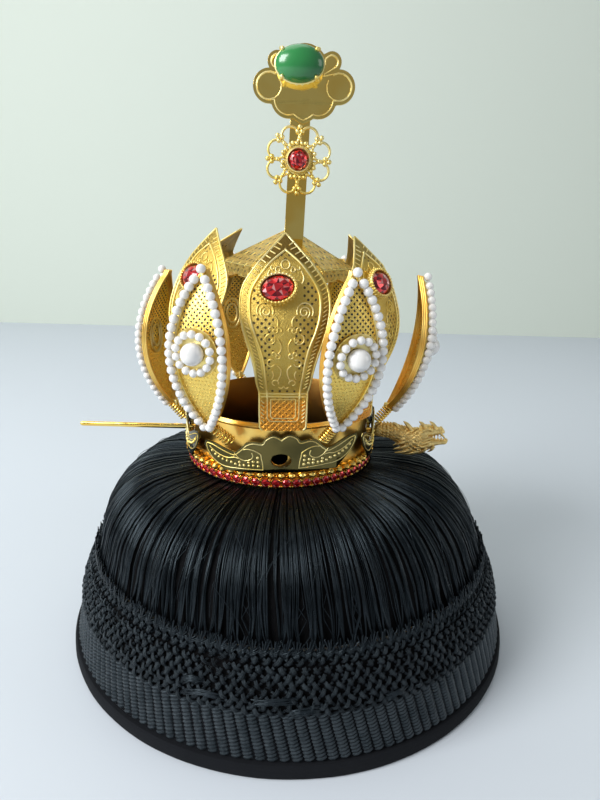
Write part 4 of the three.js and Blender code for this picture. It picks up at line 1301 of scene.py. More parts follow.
def make_collar():
    form = make_collar_form()
    for place, plate in COLLAR_PLACES.items():
        tip = plate["tip"]
        right = [collar_point(azimuth, z)[::2] for azimuth, z in COLLAR_EDGE]
        left = [(-x, z) for x, z in right[:-1]]
        slope = math.tan(radians(tip))
        edge = [(x, max(z + x * slope, COLLAR["foot"])) for x, z in [*right, *left[::-1]]]
        moon = ellipse(MOON["half_width"], MOON["half_height"], 28, 0, plate["moon_z"])
        sheet = diced(cutout("plate", edge, [moon]), 2.5, 14)
        project = {"wrap_method": "PROJECT", "use_project_y": True, "use_negative_direction": True}
        modified(sheet, "SHRINKWRAP", target=form, use_positive_direction=False, **project)
        modified(outwards(sheet), "SOLIDIFY", thickness=COLLAR["sheet"], offset=0, use_even_offset=True)
        modified(sheet, "BEVEL", width=0.14, segments=2, angle_limit=radians(50))
        routes, dots = [], []
        for side in (-1, 1):
            for line in COLLAR_LINES:
                smooth_line = smoothed(line, 4 * len(line))
                routes.append([collar_point(side * a, z, tip, 0.42) for a, z in smooth_line])
            for azimuth, z in COLLAR_DOTS:
                dots.append(Matrix.Translation(collar_point(side * azimuth, z, tip, 0.35)))
        dot = started("ico_sphere", "dot", subdivisions=2, radius=0.72)
        relief = joined("relief", [wires("lines", routes, 0.26, corners=6), scattered("dots", dot, dots)])
        turn = turn_z(COLLAR["turn"] + plate["turn"])
        kept(smooth(sheet, 30), f"collar_plate_{place}", "mirror_gold_painted_dark", f"collar_{place}", at=CROWN @ turn)
        kept(smooth(relief), f"collar_relief_{place}", "bright_gold", at=CROWN @ turn)
    discard(form)


# ---- the inner petals ------------------------------------------------------------------------

# Half of an inner petal's section: z, distance from the axis, half width.
PETAL_FOOT = [(116.8, 45.6, 9.2), (118, 45.6, 10.4), (126, 45.4, 10.5), (134, 45.2, 10.6)]
PETAL_BLADE = [
    (134, 45.2, 10.6), (138.5, 47.4, 11.7), (144, 50, 12.4), (151, 52.3, 13.9), (158, 53, 16.1),
    (165, 52, 18), (172, 49.6, 18.8), (180, 46.2, 17.3), (188.6, 42.6, 11.4),
]
PETAL_TIP_Z = 200.3
PETAL_ROUND = 60  # how each petal is rounded from side to side
LEAN = 2  # degrees that the bud leans to the right, about the ring's top
# Half width of the raised arch on each petal.
PETAL_ARCH = [
    (134.9, 7.15), (141.6, 7.85), (149, 8.7), (155.2, 10.2), (161, 12.4), (166.7, 14.1), (172.6, 14.6),
    (177, 14), (180.5, 12.5), (184.3, 10), (188.4, 6.7), (191.2, 3.5), (193.8, 0.01),
]
# Raised scrolls, half of the pattern: x, z, first and last radius, first and last angle.
PETAL_SCROLLS = [
    (0, 188.2, 1.8, 1.8, 0, 360), (3, 186.1, 1.3, 0.5, 120, -260), (5.2, 186.8, 0.9, 0.5, 60, -150),
    (7.9, 169.8, 2.5, 0.6, -60, 500), (8.1, 170, 3.5, 3.3, -30, 200), (4, 162.4, 1.3, 0.5, 90, 500),
    (2.2, 162.7, 1, 0.8, -20, 220), (5.8, 162.9, 1, 0.7, 200, -60), (5.9, 159, 2.1, 2, 70, -200),
    (4.7, 158.3, 0.9, 0.4, 0, 400), (2.8, 151.7, 1.3, 0.5, 80, 480), (4.4, 152.7, 1, 0.7, 200, -60),
    (5.5, 148.7, 1.7, 1.5, 130, -170), (3.6, 139.2, 1.4, 1.3, 200, -80), (1.2, 137.6, 1.1, 1, 180, 330),
]
PETAL_LINES = [
    [(6.5, 185.8), (7.5, 183.6), (7.4, 182), (6.7, 180.7)], [(4.1, 182.3), (5.2, 181.6)],
    [(4.2, 168.3), (2.9, 166.5), (3, 164.2)], [(2.7, 158.9), (1.5, 156.7), (1.6, 154.2), (2.6, 153)],
    [(3, 147.7), (1.4, 145.9), (1.5, 143.1), (2.6, 140.4)], [(5.1, 141), (4.4, 143), (5, 145)],
]
INNER_PETALS = [
    {"azimuth": 3.2, "lean": 0, "twist": 0, "tip": 33.8, "across": -3.2, "turn": 15, "z": 178},
    {"azimuth": 59.5, "lean": LEAN, "twist": -12, "tip": 32.5, "across": 0, "turn": 0, "z": 180.4},
    {"azimuth": 120, "lean": LEAN, "twist": 0, "tip": 34, "across": 0, "turn": 0, "z": 180.4},
    {"azimuth": 180, "lean": LEAN, "twist": 0, "tip": 33, "across": 0, "turn": 0, "z": 180.4},
    {"azimuth": -120, "lean": LEAN, "twist": 0, "tip": 28, "across": 0, "turn": 0, "z": 180.4},
    {"azimuth": -56, "lean": LEAN, "twist": 14, "tip": 37, "across": 0, "turn": 0, "z": 178.6},
]
# Where a petal turns by its twist, the axis that it turns about, and the lattice's ends.
TWIST = {"low": 134, "high": 172, "radius": 47, "foot": 112, "top": 208}
STONE = {"half": (6.7, 5.2), "tilt": 23}


def petal_rows(tip_radius):
    """The petal's levels from its foot to its tip: z, distance from the axis, half width."""
    blade = smoothed(PETAL_BLADE, 34)
    top = Vector((PETAL_TIP_Z, tip_radius, 0.4))
    tip = [blade[-1].lerp(top, i / 7) for i in range(1, 8)]
    return [*PETAL_FOOT[:-1], *(tuple(level) for level in (*blade, *tip))]


def petal_point(rows, x, z, lift=0):
    radius, _ = at_height(rows, z)
    return (x, -radius + x * x / (2 * PETAL_ROUND) - lift, z)


def spiral(x, z, start, end, first, last):
    count = 4 + abs(last - first) // 30
    steps = [i / (count - 1) for i in range(count)]
    radii_angles = [(lerp(start, end, s), radians(lerp(first, last, s))) for s in steps]
    return [(x + r * cos(a), z + r * sin(a)) for r, a in radii_angles]


def petal_relief(rows):
    """The raised lines on a petal's face: arch, scrolls, tab frame and the border's ticks."""
    arch = [(-half, z) for z, half in PETAL_ARCH] + [(half, z) for z, half in PETAL_ARCH[::-1]]
    arch = [(-7, 131.6), *arch, (7, 131.6)]
    arch = smoothed(arch, 90)
    fine = [spiral(*scroll) for scroll in PETAL_SCROLLS]
    fine += [smoothed(line, 7) for line in PETAL_LINES]
    fine += [[(0, 122.6), (4.6, 122.6), (5.4, 123.6), (5.4, 131.2)], [(0, 131.2), (5.4, 131.2)]]
    fine += [[(0, 121.2), (5.8, 121.2), (6.9, 122.6), (6.9, 131.6)]]
    ticks = []
    z = 120.5
    while z < 196:
        half = at_height(rows, z)[1]
        inner = at_height(PETAL_ARCH, z)[0] if z > 134.9 else 7.1
        if z < 130.6 or z > 135.4:
            near, far = lerp(inner, half, 0.34), lerp(inner, half, 0.72)
            ticks.append([(near, z), (far, z + 1.1)])
        z += 1.75
    mirrored = [[(-x, z) for x, z in line] for line in fine + ticks]
    lines = [[petal_point(rows, x, z, 0.52) for x, z in line] for line in fine + ticks + mirrored]
    flange = [[petal_point(rows, x, z, 0.5) for x in (-9.8, -5, 0, 5, 9.8)] for z in (132.4, 133.7)]
    bold = [[petal_point(rows, x, z, 0.5) for x, z in arch], *flange]
    edge = [(-half + 0.2, z) for z, _, half in rows] + [(half - 0.2, z) for z, _, half in rows[::-1]]
    bold.append([petal_point(rows, x, z, 0.1) for x, z in edge])
    return joined("relief", [wires("lines", lines, 0.32, corners=4), wires("bold", bold, 0.5, corners=6)])


def onto_petal(rows, petal):
    """Where a petal's stone stands, for what was made facing up."""
    radius, _ = at_height(rows, petal["z"])
    return facing_front(petal["across"], radius, petal["z"], petal["turn"], STONE["tilt"])


def leaning(petal_lean, azimuth):
    """Turns what is made at the front to its azimuth, leans it and moves it to the crown."""
    top = Matrix.Translation((0, 0, RING["top"]))
    lean = top @ Matrix.Rotation(radians(petal_lean), 4, "Y") @ top.inverted()
    return CROWN @ lean @ turn_z(azimuth)


def make_bezel(half, wall, top):
    """An oval collet: a cup with a milled edge and a row of beads round the stone."""
    x, y = half
    section = [(0.96, -0.9), (1.06, 1.5), (1.13, top - 0.9), (1.1, top), (1.0, top - 0.3), (0.98, 0)]
    cup = turned("cup", section, 48)
    cup = smooth(moved(cup, Matrix.Diagonal((x + wall / 2, y + wall / 2, 1, 1))), 40)
    bead = started("ico_sphere", "bead", subdivisions=2, radius=0.58)
    beads, teeth = [
        [Matrix.Translation((a, b, z)) for a, b in ellipse(x + wall + out, y + wall + out, 30)]
        for out, z in ((0, top - 0.1), (0.55, top - 1.3))
    ]
    tooth = moved(started("ico_sphere", "tooth", subdivisions=1, radius=0.5), Matrix.Diagonal((1, 1, 1.9, 1)))
    return joined("bezel", [cup, smooth(scattered("beads", bead, beads)), scattered("teeth", tooth, teeth)])


def twister(degrees):
    """The lattice that turns a petal by its twist from its neck to its belly."""
    foot, top = TWIST["foot"], TWIST["top"]
    lattice = lattice_box("twister", 2, 41, 40, foot, top, -TWIST["radius"])
    for point in lattice.data.points:
        z = lerp(foot, top, point.co.z + 0.5)
        point.co_deform = turn_z(degrees * smoothstep(z, TWIST["low"], TWIST["high"])) @ point.co
    return lattice


def make_inner_petals():
    cut = [(0.5, 1.2), (1, 3), (0.97, 3.5), (0.74, 4.5), (0.36, 5.2)]
    for i, petal in enumerate(INNER_PETALS, 1):
        rows = petal_rows(petal["tip"])
        turn = PETAL_ROUND * 2
        levels = [(half, half * half / turn, -radius + half * half / turn, z) for z, radius, half in rows]
        sheet = drawn_up("petal", 20, levels, 0.7)
        flat = sheet.data.attributes["flat"]
        for point in flat.data:
            x, _, z = point.vector
            point.vector = (x, x / (at_height(PETAL_ARCH, z)[0] if z > 134.9 else 7.15), z)
        setting = moved(make_bezel(STONE["half"], 0.8, 4.1), onto_petal(rows, petal))
        relief = joined("relief", [smooth(petal_relief(rows)), setting])
        stone = moved(gem("stone", cut, 12, STONE["half"]), onto_petal(rows, petal))
        if petal["twist"]:
            lattice = twister(petal["twist"])
            for piece in (sheet, relief, stone):
                modified(piece, "LATTICE", object=lattice)
            discard(lattice)
        place = leaning(petal["lean"], petal["azimuth"])
        etched = "front_petal" if i == 1 else "etched_petal"
        kept(sheet, f"petal_blade_{i}", etched, f"inner_petal_{i}", at=place)
        kept(relief, f"petal_relief_{i}", "bright_gold", at=place)
        kept(stone, f"petal_gem_{i}", "red", f"petal_stone_{i}", at=place)


# ---- the roof and the finial -----------------------------------------------------------------

ROOF = {"apex": 202, "corner": 31.5, "eaves": 185.3, "rim": 33.3, "foot": 180.6}
ROOF_TAB = {"half": 4, "line": [(171.9, 46.8), (173.4, 46.5), (176.4, 45.5), (181.4, 27.8)]}
PETAL_COUNT = 6


def make_roof():
    """Six pierced panels with ridges between them, and a tab to each petal."""
    side, face = sin(pi / 6), cos(pi / 6)
    levels = [(ROOF["rim"], ROOF["foot"]), (ROOF["corner"], ROOF["eaves"])]
    for i in range(1, 14):
        levels.append((ROOF["corner"] * (1 - i / 14), lerp(ROOF["eaves"], ROOF["apex"], i / 14)))
    levels.append((0.4, ROOF["apex"] - 0.2))
    rows = [(radius * side, 0.001, -radius * face, z) for radius, z in levels]
    panel = drawn_up("panel", 10, rows, 0.7)
    corner = [(-radius * side, -radius * face, z) for radius, z in (*levels[:2], (0.1, ROOF["apex"]))]
    other = [(-x, y, z) for x, y, z in corner]
    edges = [corner, [corner[0], other[0]], [corner[1], other[1]]]
    edges = smooth(wires("edges", edges, 0.45, corners=6))
    tab = drawn_up("tab", 4, [(ROOF_TAB["half"], 0.001, -radius, z) for z, radius in ROOF_TAB["line"]], 0.8)
    tabs = scattered("tabs", tab, [turn_z(petal["azimuth"]) for petal in INNER_PETALS])
    ridges = joined("ridges", [around(edges, PETAL_COUNT), smooth(tabs, 50)])
    place = leaning(LEAN, 0)
    kept(around(panel, PETAL_COUNT), "roof_panels", "pierced_roof", "roof", at=place)
    kept(ridges, "roof_ridges", "gold", at=place)


STRAP = {"x": 2.2, "half": 4.4, "y": -7.4, "foot_y": -23, "bend": 212, "top": 270, "sheet": 0.8}
ROOF_SLOPE = (ROOF["apex"] - ROOF["eaves"]) / (ROOF["corner"] * cos(pi / 6))


def make_strap():
    """The flat strap that stands up from the roof's front panel and holds the finial."""
    lift = 0.9
    line = [(y, ROOF["apex"] + ROOF_SLOPE * y + lift) for y in (STRAP["foot_y"], -16, -9.6)]
    line += [(STRAP["y"] - 1, 197.4), (STRAP["y"] - 0.5, 199.5), (STRAP["y"], STRAP["bend"])]
    line += [(STRAP["y"], z) for z in (228, 245, STRAP["top"])]
    rows = [(STRAP["half"], 0.001, y, z) for y, z in line]
    strap = drawn_up("strap", 4, rows, STRAP["sheet"])
    modified(strap, "BEVEL", width=0.15, segments=2, angle_limit=radians(60))
    place = leaning(LEAN, 0) @ Matrix.Translation((STRAP["x"], 0, 0))
    kept(smooth(strap, 40), "strap", "gold", "finial_strap", at=place)


FLOWER = {"x": 2.4, "y": -8.9, "z": 231.5, "loops": 8, "ring": 10.6, "loop": 3.9, "stone": 4.3}


def spheres(name, radius, places, fineness=2):
    ball = started("ico_sphere", name, subdivisions=fineness, radius=radius)
    return smooth(scattered(name, ball, [Matrix.Translation(place) for place in places]))


def polar(radius, angle, z):
    return (radius * cos(angle), radius * sin(angle), z)


def make_flower():
    """A filigree flower: eight wire loops, grains between them and round the stone's cup."""
    count, ring = FLOWER["loops"], FLOWER["ring"]
    step = 2 * pi / count
    loops, grains, fine = [], [], []
    for i in range(count):
        angle = (i + 0.5) * step
        loops.append((FLOWER["loop"], polar(ring, angle, 0)))
        gap = angle + step / 2
        grains += [polar(13.7, gap, 0.3), polar(11.9, gap - 0.085, 0.3), polar(11.9, gap + 0.085, 0.3)]
        fine += [polar(7.1, gap - 0.16, 0.8), polar(7.1, gap + 0.16, 0.8), polar(7.6, angle, 0.9)]
        fine += [polar(9.3, gap, 0.5)]
    parts = [spheres("grains", 1.1, grains), spheres("fine_grains", 0.95, fine)]
    for radius, middle in loops:
        size = {"major_radius": radius, "minor_radius": 0.58}
        loop = started("torus", "loop", major_segments=24, minor_segments=8, **size)
        parts.append(smooth(moved(loop, Matrix.Diagonal((1, 1, 1.3, 1)), Matrix.Translation(middle))))
    parts.append(turned("heart", [(6.6, -0.6), (6.6, 0.2), (5.4, 0.5), (0, 0.5)], 48))
    rope = started("ico_sphere", "rope", subdivisions=1, radius=0.42)
    lay = Matrix.Rotation(0.6, 4, "X")
    turns = [Matrix.Translation(polar(5.75, 2 * pi * i / 44, 1.1)) @ lay for i in range(44)]
    parts.append(scattered("rope", rope, turns))
    cup = turned("cup", [(5.3, 0.4), (5.5, 2.2), (5.2, 3), (4.8, 3.1), (4.5, 2.4), (4.4, 0.4)], 48)
    parts.append(smooth(cup, 50))
    place = leaning(LEAN, 0) @ facing_front(FLOWER["x"], -FLOWER["y"], FLOWER["z"])
    kept(joined("flower", parts), "wire_flower", "bright_gold", "filigree_flower", at=place)
    cut = [(0.9, 0.6), (1, 2.2), (0.86, 3.1), (0.6, 3.9), (0.42, 4.1)]
    stone = gem("stone", cut, 12, (FLOWER["stone"], FLOWER["stone"]))
    kept(stone, "flower_gem", "red", "flower_stone", at=place)


# The cloud-shaped plate is the outline round these discs: x, z, radius from its middle.
CLOUD = {"x": 3, "y": -8.7, "z": 262.6, "sheet": 1.2, "turn": -2}
CLOUD_LOBES = [
    (0, 5, 10.2), (11.6, 8.2, 4.2), (-11.6, 8.2, 4.2), (15, -1.4, 7), (-15, -1.4, 7), (6.4, -6.4, 7.8),
    (-6.4, -6.4, 7.8),
]
# Raised arcs in the side lobes: x, z, radius, first and last angle.
CLOUD_ARCS = [
    (15, -1.4, 5.3, 150, 480), (-15, -1.4, 5.3, 30, -300),
    (11.4, 8, 2.7, 200, -40), (-11.4, 8, 2.7, -20, 220),
]
CLOUD_POINT = {"reach": 16.2, "spread": 5, "within": 0.5}
CABOCHON = {"x": -2, "z": 5.6, "half": (10.2, 7.4), "lift": 7.4, "height": 5.6}


def cloud_edge(inset, count=150):
    """The cloud's outline, or a line that far inside it."""
    edge = []
    for i in range(count):
        angle = -pi / 2 + 2 * pi * i / count
        angle = angle - 2 * pi if angle > pi else angle
        x, z = cos(angle), sin(angle)
        reaches = []
        for lobe_x, lobe_z, radius in CLOUD_LOBES:
            along = lobe_x * x + lobe_z * z
            inside = (radius - inset) ** 2 - lobe_x**2 - lobe_z**2 + along**2
            reaches.append(along + math.sqrt(inside) if inside > 0 else 0)
        drop = abs(angle + pi / 2)
        if drop < CLOUD_POINT["within"]:
            reaches.append(CLOUD_POINT["reach"] - inset - math.tan(drop) * CLOUD_POINT["spread"])
        edge.append((max(reaches) * x, max(reaches) * z))
    return edge


def make_cloud():
    """The stamped plate with its raised lines, the stone's basket and four prongs."""
    sheet = cutout("cloud", cloud_edge(0))
    modified(outwards(sheet), "SOLIDIFY", thickness=CLOUD["sheet"], offset=0)
    modified(sheet, "BEVEL", width=0.3, segments=3, angle_limit=radians(50))
    front = -CLOUD["sheet"] / 2 - 0.05
    inner = [(x, front, z) for x, z in cloud_edge(1.5)]
    parts = [wires("line", [inner], 0.34, corners=6, ring=True)]
    arcs = []
    for x, z, radius, first, last in CLOUD_ARCS:
        arcs.append([(a, front, b) for a, b in spiral(x, z, radius, radius, first, last)])
    parts.append(wires("arcs", arcs, 0.3, corners=6))
    (half_x, half_z), lift = CABOCHON["half"], CABOCHON["lift"]
    walls = [(0.74, 0.4), (0.8, 3), (0.97, 6.2), (1.04, lift - 0.2)]
    walls += [(0.98, lift), (0.9, 6.2), (0.7, 3), (0.66, 0.4)]
    basket = moved(turned("basket", walls, 48), Matrix.Diagonal((half_x, half_z, 1, 1)))
    scallops = [polar(0.84, 2 * pi * i / 22, 0.9) for i in range(22)]
    scallops = [(half_x * x, half_z * y, z) for x, y, z in scallops]
    setting = [smooth(basket, 50), spheres("scallops", 0.75, scallops)]
    prongs, tips = [], []
    for side in (-1, 1):
        for up in (-1, 1):
            corner = [(side * share * half_x, up * share * half_z, high)
                      for share, high in ((0.6, 2.4), (0.78, 6.6), (0.77, 8.4), (0.7, 9.6))]
            prongs.append(smoothed(corner, 8))
            tips.append(corner[-1])
    setting += [wires("prongs", prongs, 0.62, corners=8), spheres("tips", 0.95, tips)]
    stand = facing_front(CABOCHON["x"], 0, CABOCHON["z"])
    parts += [moved(piece, stand) for piece in setting]
    turn = Matrix.Rotation(radians(CLOUD["turn"]), 4, "Y")
    place = leaning(LEAN, 0) @ Matrix.Translation((CLOUD["x"], CLOUD["y"], CLOUD["z"])) @ turn
    kept(smooth(sheet, 40), "cloud_sheet", "gold", "cloud_plate", at=place)
    kept(smooth(joined("setting", parts), 60), "cloud_setting", "bright_gold", at=place)
    height = CABOCHON["height"]
    angles = [radians(degrees) for degrees in (4, 12, 22, 34, 46, 58, 70, 80)]
    dome = [(cos(angle), 0.5 + (height - 0.5) * sin(angle)) for angle in angles]
    stone = turned("stone", [(0.9, 0), (0.98, 0.2), *dome, (0, height)], 64)
    size = Matrix.Translation((0, 0, lift)) @ Matrix.Diagonal((half_x, half_z, 1, 1))
    stone = smooth(moved(stone, stand @ size), 60)
    kept(stone, "green_cabochon", "green", "cabochon", at=place)


# ---- the outer petals on their springs -------------------------------------------------------

OUTER_PETALS = {
    "front_left": {"azimuth": -32, "solder": -24, "foot": 54.5, "z": 117, "lean": 2.5, "turn": 10},
    "front_right": {"azimuth": 29, "solder": 24, "foot": 52.5, "z": 118.6, "lean": 8.5, "turn": -4},
    "right": {"azimuth": 91, "solder": 91, "foot": 55.4, "z": 113.4, "lean": 10, "turn": -4},
    "back_right": {"azimuth": 149, "solder": 157, "foot": 54, "z": 117, "lean": 6, "turn": 0},
    "back_left": {"azimuth": -151, "solder": -155, "foot": 54, "z": 117, "lean": 4, "turn": 0},
    "left": {"azimuth": -93, "solder": -93, "foot": 56, "z": 112, "lean": 0.8, "turn": -17},
}
OUTER = {"length": 69, "half": 12.4, "end": 0.8, "bow": 7.4, "dish": 1.6, "flower": 0.53, "sheet": 0.8}
# The rolled rim: how far out it runs, as a share of the sheet, and each bead's depth behind it.
OUTER_RIM = {"share": 1.06, "beads": (0.1, 1.0, 1.9), "wire": 0.6}
PEARL = {"edge": 2.05, "pitch": 3.55, "ring": 1.84, "ring_radius": 8.1, "ring_count": 14, "big": 4.8}
SPRING = {"turns": 7, "radius": 2.2, "wire": 0.56, "drop": 6, "clear": 2.4}


def outer_point(side, up, lift=0):
    """A place on an outer petal, from its foot at the origin, lifted off its face."""
    lens = 4 * up * (1 - up)
    half = max(OUTER["half"] * lens, OUTER["end"])
    dish = OUTER["dish"] * lens * (1 - side * side)
    return Vector((half * side, -OUTER["bow"] * lens - dish - lift, OUTER["length"] * up))


def make_outer_sheet():
    rows = []
    for i in range(29):
        lens = max(4 * (i / 28) * (1 - i / 28), 0.015)
        half = max(OUTER["half"] * lens, OUTER["end"])
        rows.append((half, OUTER["dish"] * lens, -OUTER["bow"] * lens, OUTER["length"] * i / 28))
    return drawn_up("outer", 14, rows, OUTER["sheet"])


def make_outer_rim():
    """The edge of an outer petal, rolled back all round in three beads."""
    edge = [(side, i / 36) for side in (-1, 1) for i in range(37)[::side]]
    wide = OUTER_RIM["share"]
    rims = [[outer_point(wide * side, up, -back) for side, up in edge] for back in OUTER_RIM["beads"]]
    return smooth(wires("rim", rims, OUTER_RIM["wire"], corners=8))


def make_outer_trim():
    """What is soldered on an outer petal: the pearls' seat wire, the dish, boss and lug."""
    seat = [outer_point(side * 0.86, 0.03 + 0.94 * i / 30, 0.5) for side in (-1, 1) for i in range(31)[::side]]
    dish = [(10, 0.3), (10.4, 0.9), (10.2, 1.2), (9.4, 0.9), (5, 0.75), (4.4, 0.9), (4.4, 0.3)]
    dish = smooth(turned("dish", dish, 48), 50)
    heart = outer_point(0, OUTER["flower"])
    dish = moved(dish, facing_front(0, -heart.y, heart.z))
    ovals = []
    for wide in (3.2, 5):
        ovals.append([(x, heart.y + 0.9, heart.z + z) for x, z in ellipse(wide, 1.7 * wide, 24)])
    boss = smooth(wires("boss", ovals, 0.7, corners=6, ring=True))
    lug = started("cube", "lug", size=1, scale=(2.4, 3.7, 3.4), location=(0, 0.9, 1.8))
    modified(lug, "BEVEL", width=0.5, segments=2)
    return joined("trim", [smooth(wires("seat", [seat], 0.52, corners=8)), dish, boss, smooth(lug, 50)])


def make_pearls():
    """The string of pearls along both edges and the ring of pearls round the big one."""
    lift = OUTER["sheet"] / 2 + 0.2 + PEARL["edge"]
    places = []
    for side in (-1, 1):
        here = outer_point(side, 0.03, lift)
        places.append(here)
        for i in range(1, 400):
            point = outer_point(side, 0.03 + 0.945 * i / 399, lift)
            if (point - here).length >= PEARL["pitch"]:
                places.append(point)
                here = point
    places.append(outer_point(0, 1, lift) + Vector((0, 0, 0.4)))
    strings = spheres("string", PEARL["edge"], places)
    heart = outer_point(0, OUTER["flower"], OUTER["sheet"] / 2 + 0.6 + PEARL["ring"])
    ring = []
    for i in range(PEARL["ring_count"]):
        angle = 2 * pi * (i + 0.5) / PEARL["ring_count"]
        x, z, _ = polar(PEARL["ring_radius"], angle, 0)
        ring.append((x, heart.y, heart.z + z))
    return joined("pearls", [strings, spheres("ring", PEARL["ring"], ring)])


def make_big_pearl():
    pearl = started("uv_sphere", "pearl", segments=40, ring_count=20, radius=PEARL["big"])
    with editing(pearl):
        pick(pearl, lambda co: co.z < -2.9)
        bpy.ops.mesh.delete(type="VERT")
        bpy.ops.mesh.select_all(action="SELECT")
        bpy.ops.mesh.select_non_manifold(extend=False)
        bpy.ops.mesh.edge_face_add()
    heart = outer_point(0, OUTER["flower"], OUTER["sheet"] / 2 + 0.3 + 2.7)
    return smooth(moved(outwards(pearl), facing_front(0, -heart.y, heart.z)), 50)


def make_spring(petal):
    """The coil from the collar to a petal's foot, with its straight ends."""
    aside = radians(petal["solder"] - petal["azimuth"])
    radius = COLLAR["radius"] + SPRING["clear"]
    start = Vector((radius * sin(aside), -radius * cos(aside), petal["z"] - SPRING["drop"]))
    end = Vector((0, -petal["foot"] - 0.6, petal["z"] + 1.6))
    axis = end - start
    aim = axis.to_track_quat("Z", "Y")
    steps = round(SPRING["turns"] * 14)
    route = []
    for i in range(steps + 1):
        angle = 2 * pi * i / 14
        along = axis.length * i / steps
        route.append(start + aim @ Vector(polar(SPRING["radius"], angle, along)))
    return wires("coil", [route], SPRING["wire"], corners=8)


def make_outer_petals():
    sheet, rim, trim = make_outer_sheet(), make_outer_rim(), make_outer_trim()
    pearls, big = make_pearls(), make_big_pearl()
    for place, petal in OUTER_PETALS.items():
        stand = Matrix.Translation((0, -petal["foot"], petal["z"])) @ turn_z(petal["turn"])
        stand = CROWN @ turn_z(petal["azimuth"]) @ stand @ Matrix.Rotation(radians(petal["lean"]), 4, "X")
        kept(copied(sheet), f"outer_blade_{place}", "etched_outer", f"outer_petal_{place}", at=stand)
        kept(copied(rim), f"outer_rim_{place}", "ring_gold", at=stand)
        kept(copied(trim), f"outer_trim_{place}", "bright_gold", at=stand)
        strings = (f"pearl_edge_{place}", f"pearl_ring_{place}")
        kept(copied(pearls), f"small_pearls_{place}", "pearl", *strings, at=stand)
        kept(copied(big), f"middle_pearl_{place}", "pearl", f"big_pearl_{place}", at=stand)
        spring = smooth(make_spring(petal))
        kept(spring, f"spring_{place}", "gold", at=CROWN @ turn_z(petal["azimuth"]))
    discard(sheet, rim, trim, pearls, big)


# ---- the hairpin -----------------------------------------------------------------------------

PIN_Z = 101.9
# Sections along the pin: x, height over the pin's axis, how high and how wide.
PIN_SHAFT = [
    (-104, 0, 1.3, 0.9), (-103.6, 0, 2.1, 1.4), (-102.6, 0, 2.5, 1.8), (40, 0, 3.2, 2.4), (52.6, 0, 3.4, 2.6),
]
DRAGON_BODY = [
    (49.6, 0.6, 5, 4.4), (51.5, 0.8, 6.4, 5.2), (57, 0.2, 7.4, 5.8), (62, -2, 9.4, 7.2),
    (67, -4.4, 12.4, 8.6), (72, -4.2, 12.4, 8.4), (76.5, -3.2, 8.4, 7),
]
DRAGON_SNOUT = [
    (71, -1, 6, 7), (75, 0.4, 7, 6.6), (78.5, 0.8, 6, 5.6), (81.5, 1, 4.4, 5), (84, 1.1, 3.2, 4.2),
    (85.2, 0.6, 1.6, 2.6),
]
DRAGON_JAW = [
    (71, -6.4, 7, 7), (75.5, -6.2, 6.2, 6), (79, -5.6, 4.4, 4.8), (83, -5.2, 2.8, 3.6), (86, -5, 2.6, 3),
    (87, -4.8, 1.4, 2),
]
# Tapered locks, horns and whiskers on each side: x, out from the middle, height; then radius.
DRAGON_LOCKS = [
    ([(68, 1.4, 1), (66, 1.7, 3.6), (63.8, 1.8, 5.2)], 1.4),
    ([(75, 1.5, 1.8), (73.8, 1.7, 4), (72, 1.8, 5.2)], 1.4),
    ([(80.4, 1.2, 2), (79.2, 1.3, 4.2), (77.4, 1.5, 5.6)], 1.5),
    ([(61.5, 0.9, 2), (60, 1, 3.8), (58.2, 1.1, 4.8)], 1),
    ([(66, 3.2, -3.4), (62.4, 3.6, -5), (59.4, 3, -6.2)], 1.2),
    ([(67, 3.2, -5.8), (63, 3.6, -7.6), (59.4, 2.8, -8.8)], 1.3),
    ([(68.6, 2.8, -8), (64, 3.2, -10), (59.6, 2.4, -10.8)], 1.3),
    ([(72, 2, -9.4), (68, 2.4, -11), (63.6, 2, -11.6)], 1.2),
    ([(76, 1.6, -7.8), (74.6, 1.8, -10), (72, 1.2, -11.6)], 1.1),
    ([(80, 1.4, -7), (79, 1.6, -9), (77, 1.2, -10.4)], 1),
    ([(82, 2, 0.6), (84.4, 2.6, -1), (84.8, 2.8, -2.6), (83.4, 2.6, -3.4)], 0.6),
    ([(73, 3.3, 1.6), (76, 3.4, 2.8), (79, 2.8, 2.4)], 0.9),
    ([(79, 3, -1.6), (74, 4, -3), (69, 4.5, -2.4), (64.6, 3.9, -2.6)], 0.7),
    ([(78, 3, -3.6), (73, 4.2, -5), (68.4, 4.4, -4.8), (64, 3.9, -4.4)], 0.7),
    ([(77, 2.8, -5.8), (72, 3.9, -7.2), (67.4, 3.8, -7.2), (64, 3.4, -6.6)], 0.7),
]


def swept(name, sections, corners, count):
    """A lofted body whose sections are led smoothly from one to the next."""
    return smooth(lofted(name, smoothed(sections, count), corners), 60)


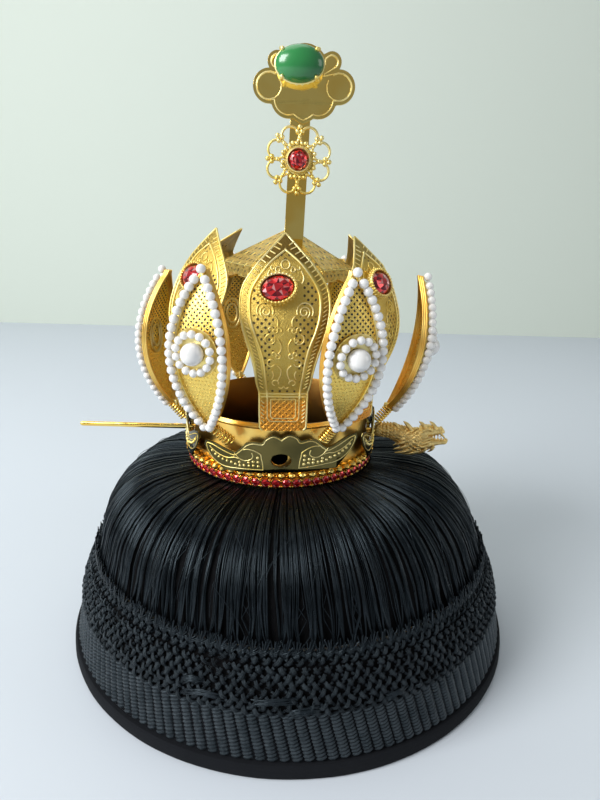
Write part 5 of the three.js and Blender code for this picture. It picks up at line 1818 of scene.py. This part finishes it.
def make_scales():
    """Rows of overlapping scales along the dragon's neck and cheeks, and its comb."""
    scale = started("ico_sphere", "scale", subdivisions=1, radius=1)
    places = []
    sections = smoothed(DRAGON_BODY, 19)
    for row, (x, z, high, wide) in enumerate(sections[:-3]):
        around_neck = 9 + round(high / 2)
        for i in range(around_neck):
            angle = 2 * pi * (i + 0.5 * (row % 2)) / around_neck
            size = 0.55 + 0.045 * high
            middle = Vector((x, 0.5 * wide * cos(angle), z + 0.5 * high * sin(angle)))
            face = Matrix.Rotation(angle - pi / 2, 4, "X") @ Matrix.Rotation(radians(-24), 4, "Y")
            places.append(Matrix.Translation(middle) @ face @ Matrix.Diagonal((1.5 * size, size, 0.5, 1)))
    for i in range(15):
        x, z, high, _ = curve_through(DRAGON_BODY, i / 20)
        comb = Matrix.Rotation(radians(-50), 4, "Y") @ Matrix.Diagonal((0.6, 0.5, 1.5, 1))
        places.append(Matrix.Translation((x, 0, z + 0.5 * high + 0.5)) @ comb)
    return scattered("scales", scale, places)


def make_hairpin():
    """The pin with its dragon's head, cast in one."""
    shaft = smooth(lofted("shaft", PIN_SHAFT, 8), 50)
    place = CROWN @ Matrix.Translation((0, 0, PIN_Z))
    kept(shaft, "hairpin_shaft", "gold", "hairpin", at=place, body="pin")
    parts = [swept("neck", DRAGON_BODY, 16, 22), make_scales()]
    parts += [swept("snout", DRAGON_SNOUT, 14, 16), swept("jaw", DRAGON_JAW, 12, 14)]
    for thick in sorted({thick for _, thick in DRAGON_LOCKS}):
        locks = [
            smoothed([(x, side * y, z) for x, y, z in line], 8)
            for line, radius in DRAGON_LOCKS if radius == thick for side in (-1, 1)
        ]
        parts.append(smooth(wires("locks", locks, thick, corners=6, taper=lambda along: 1.05 - along**1.5)))
    parts.append(spheres("knobs", 1.3, [(86.2, 0, -4.2), (77.6, 2.5, 2.4), (77.6, -2.5, 2.4)]))
    parts.append(spheres("nostrils", 0.9, [(83.6, side, 2.2) for side in (-1.3, 1.3)]))
    tooth = started("cone", "tooth", vertices=6, radius1=0.5, radius2=0.1, depth=1.2)
    flip = Matrix.Rotation(pi, 4, "X")
    teeth = []
    for side in (-1, 1):
        for i in range(3):
            x, wide = 80 + 1.7 * i, side * (2 - 0.25 * i)
            teeth.append(Matrix.Translation((x, wide, -1.7 + 0.35 * i)) @ flip)
            teeth.append(Matrix.Translation((x + 0.8, 0.7 * wide, -3.3)))
    parts.append(scattered("teeth", tooth, teeth))
    head = joined("head", parts)
    kept(head, "dragon_head", "cast_gold", at=place, body="pin")


make_ring()
make_trim()
make_collar()
make_inner_petals()
make_roof()
make_strap()
make_flower()
make_cloud()
make_outer_petals()
make_hairpin()
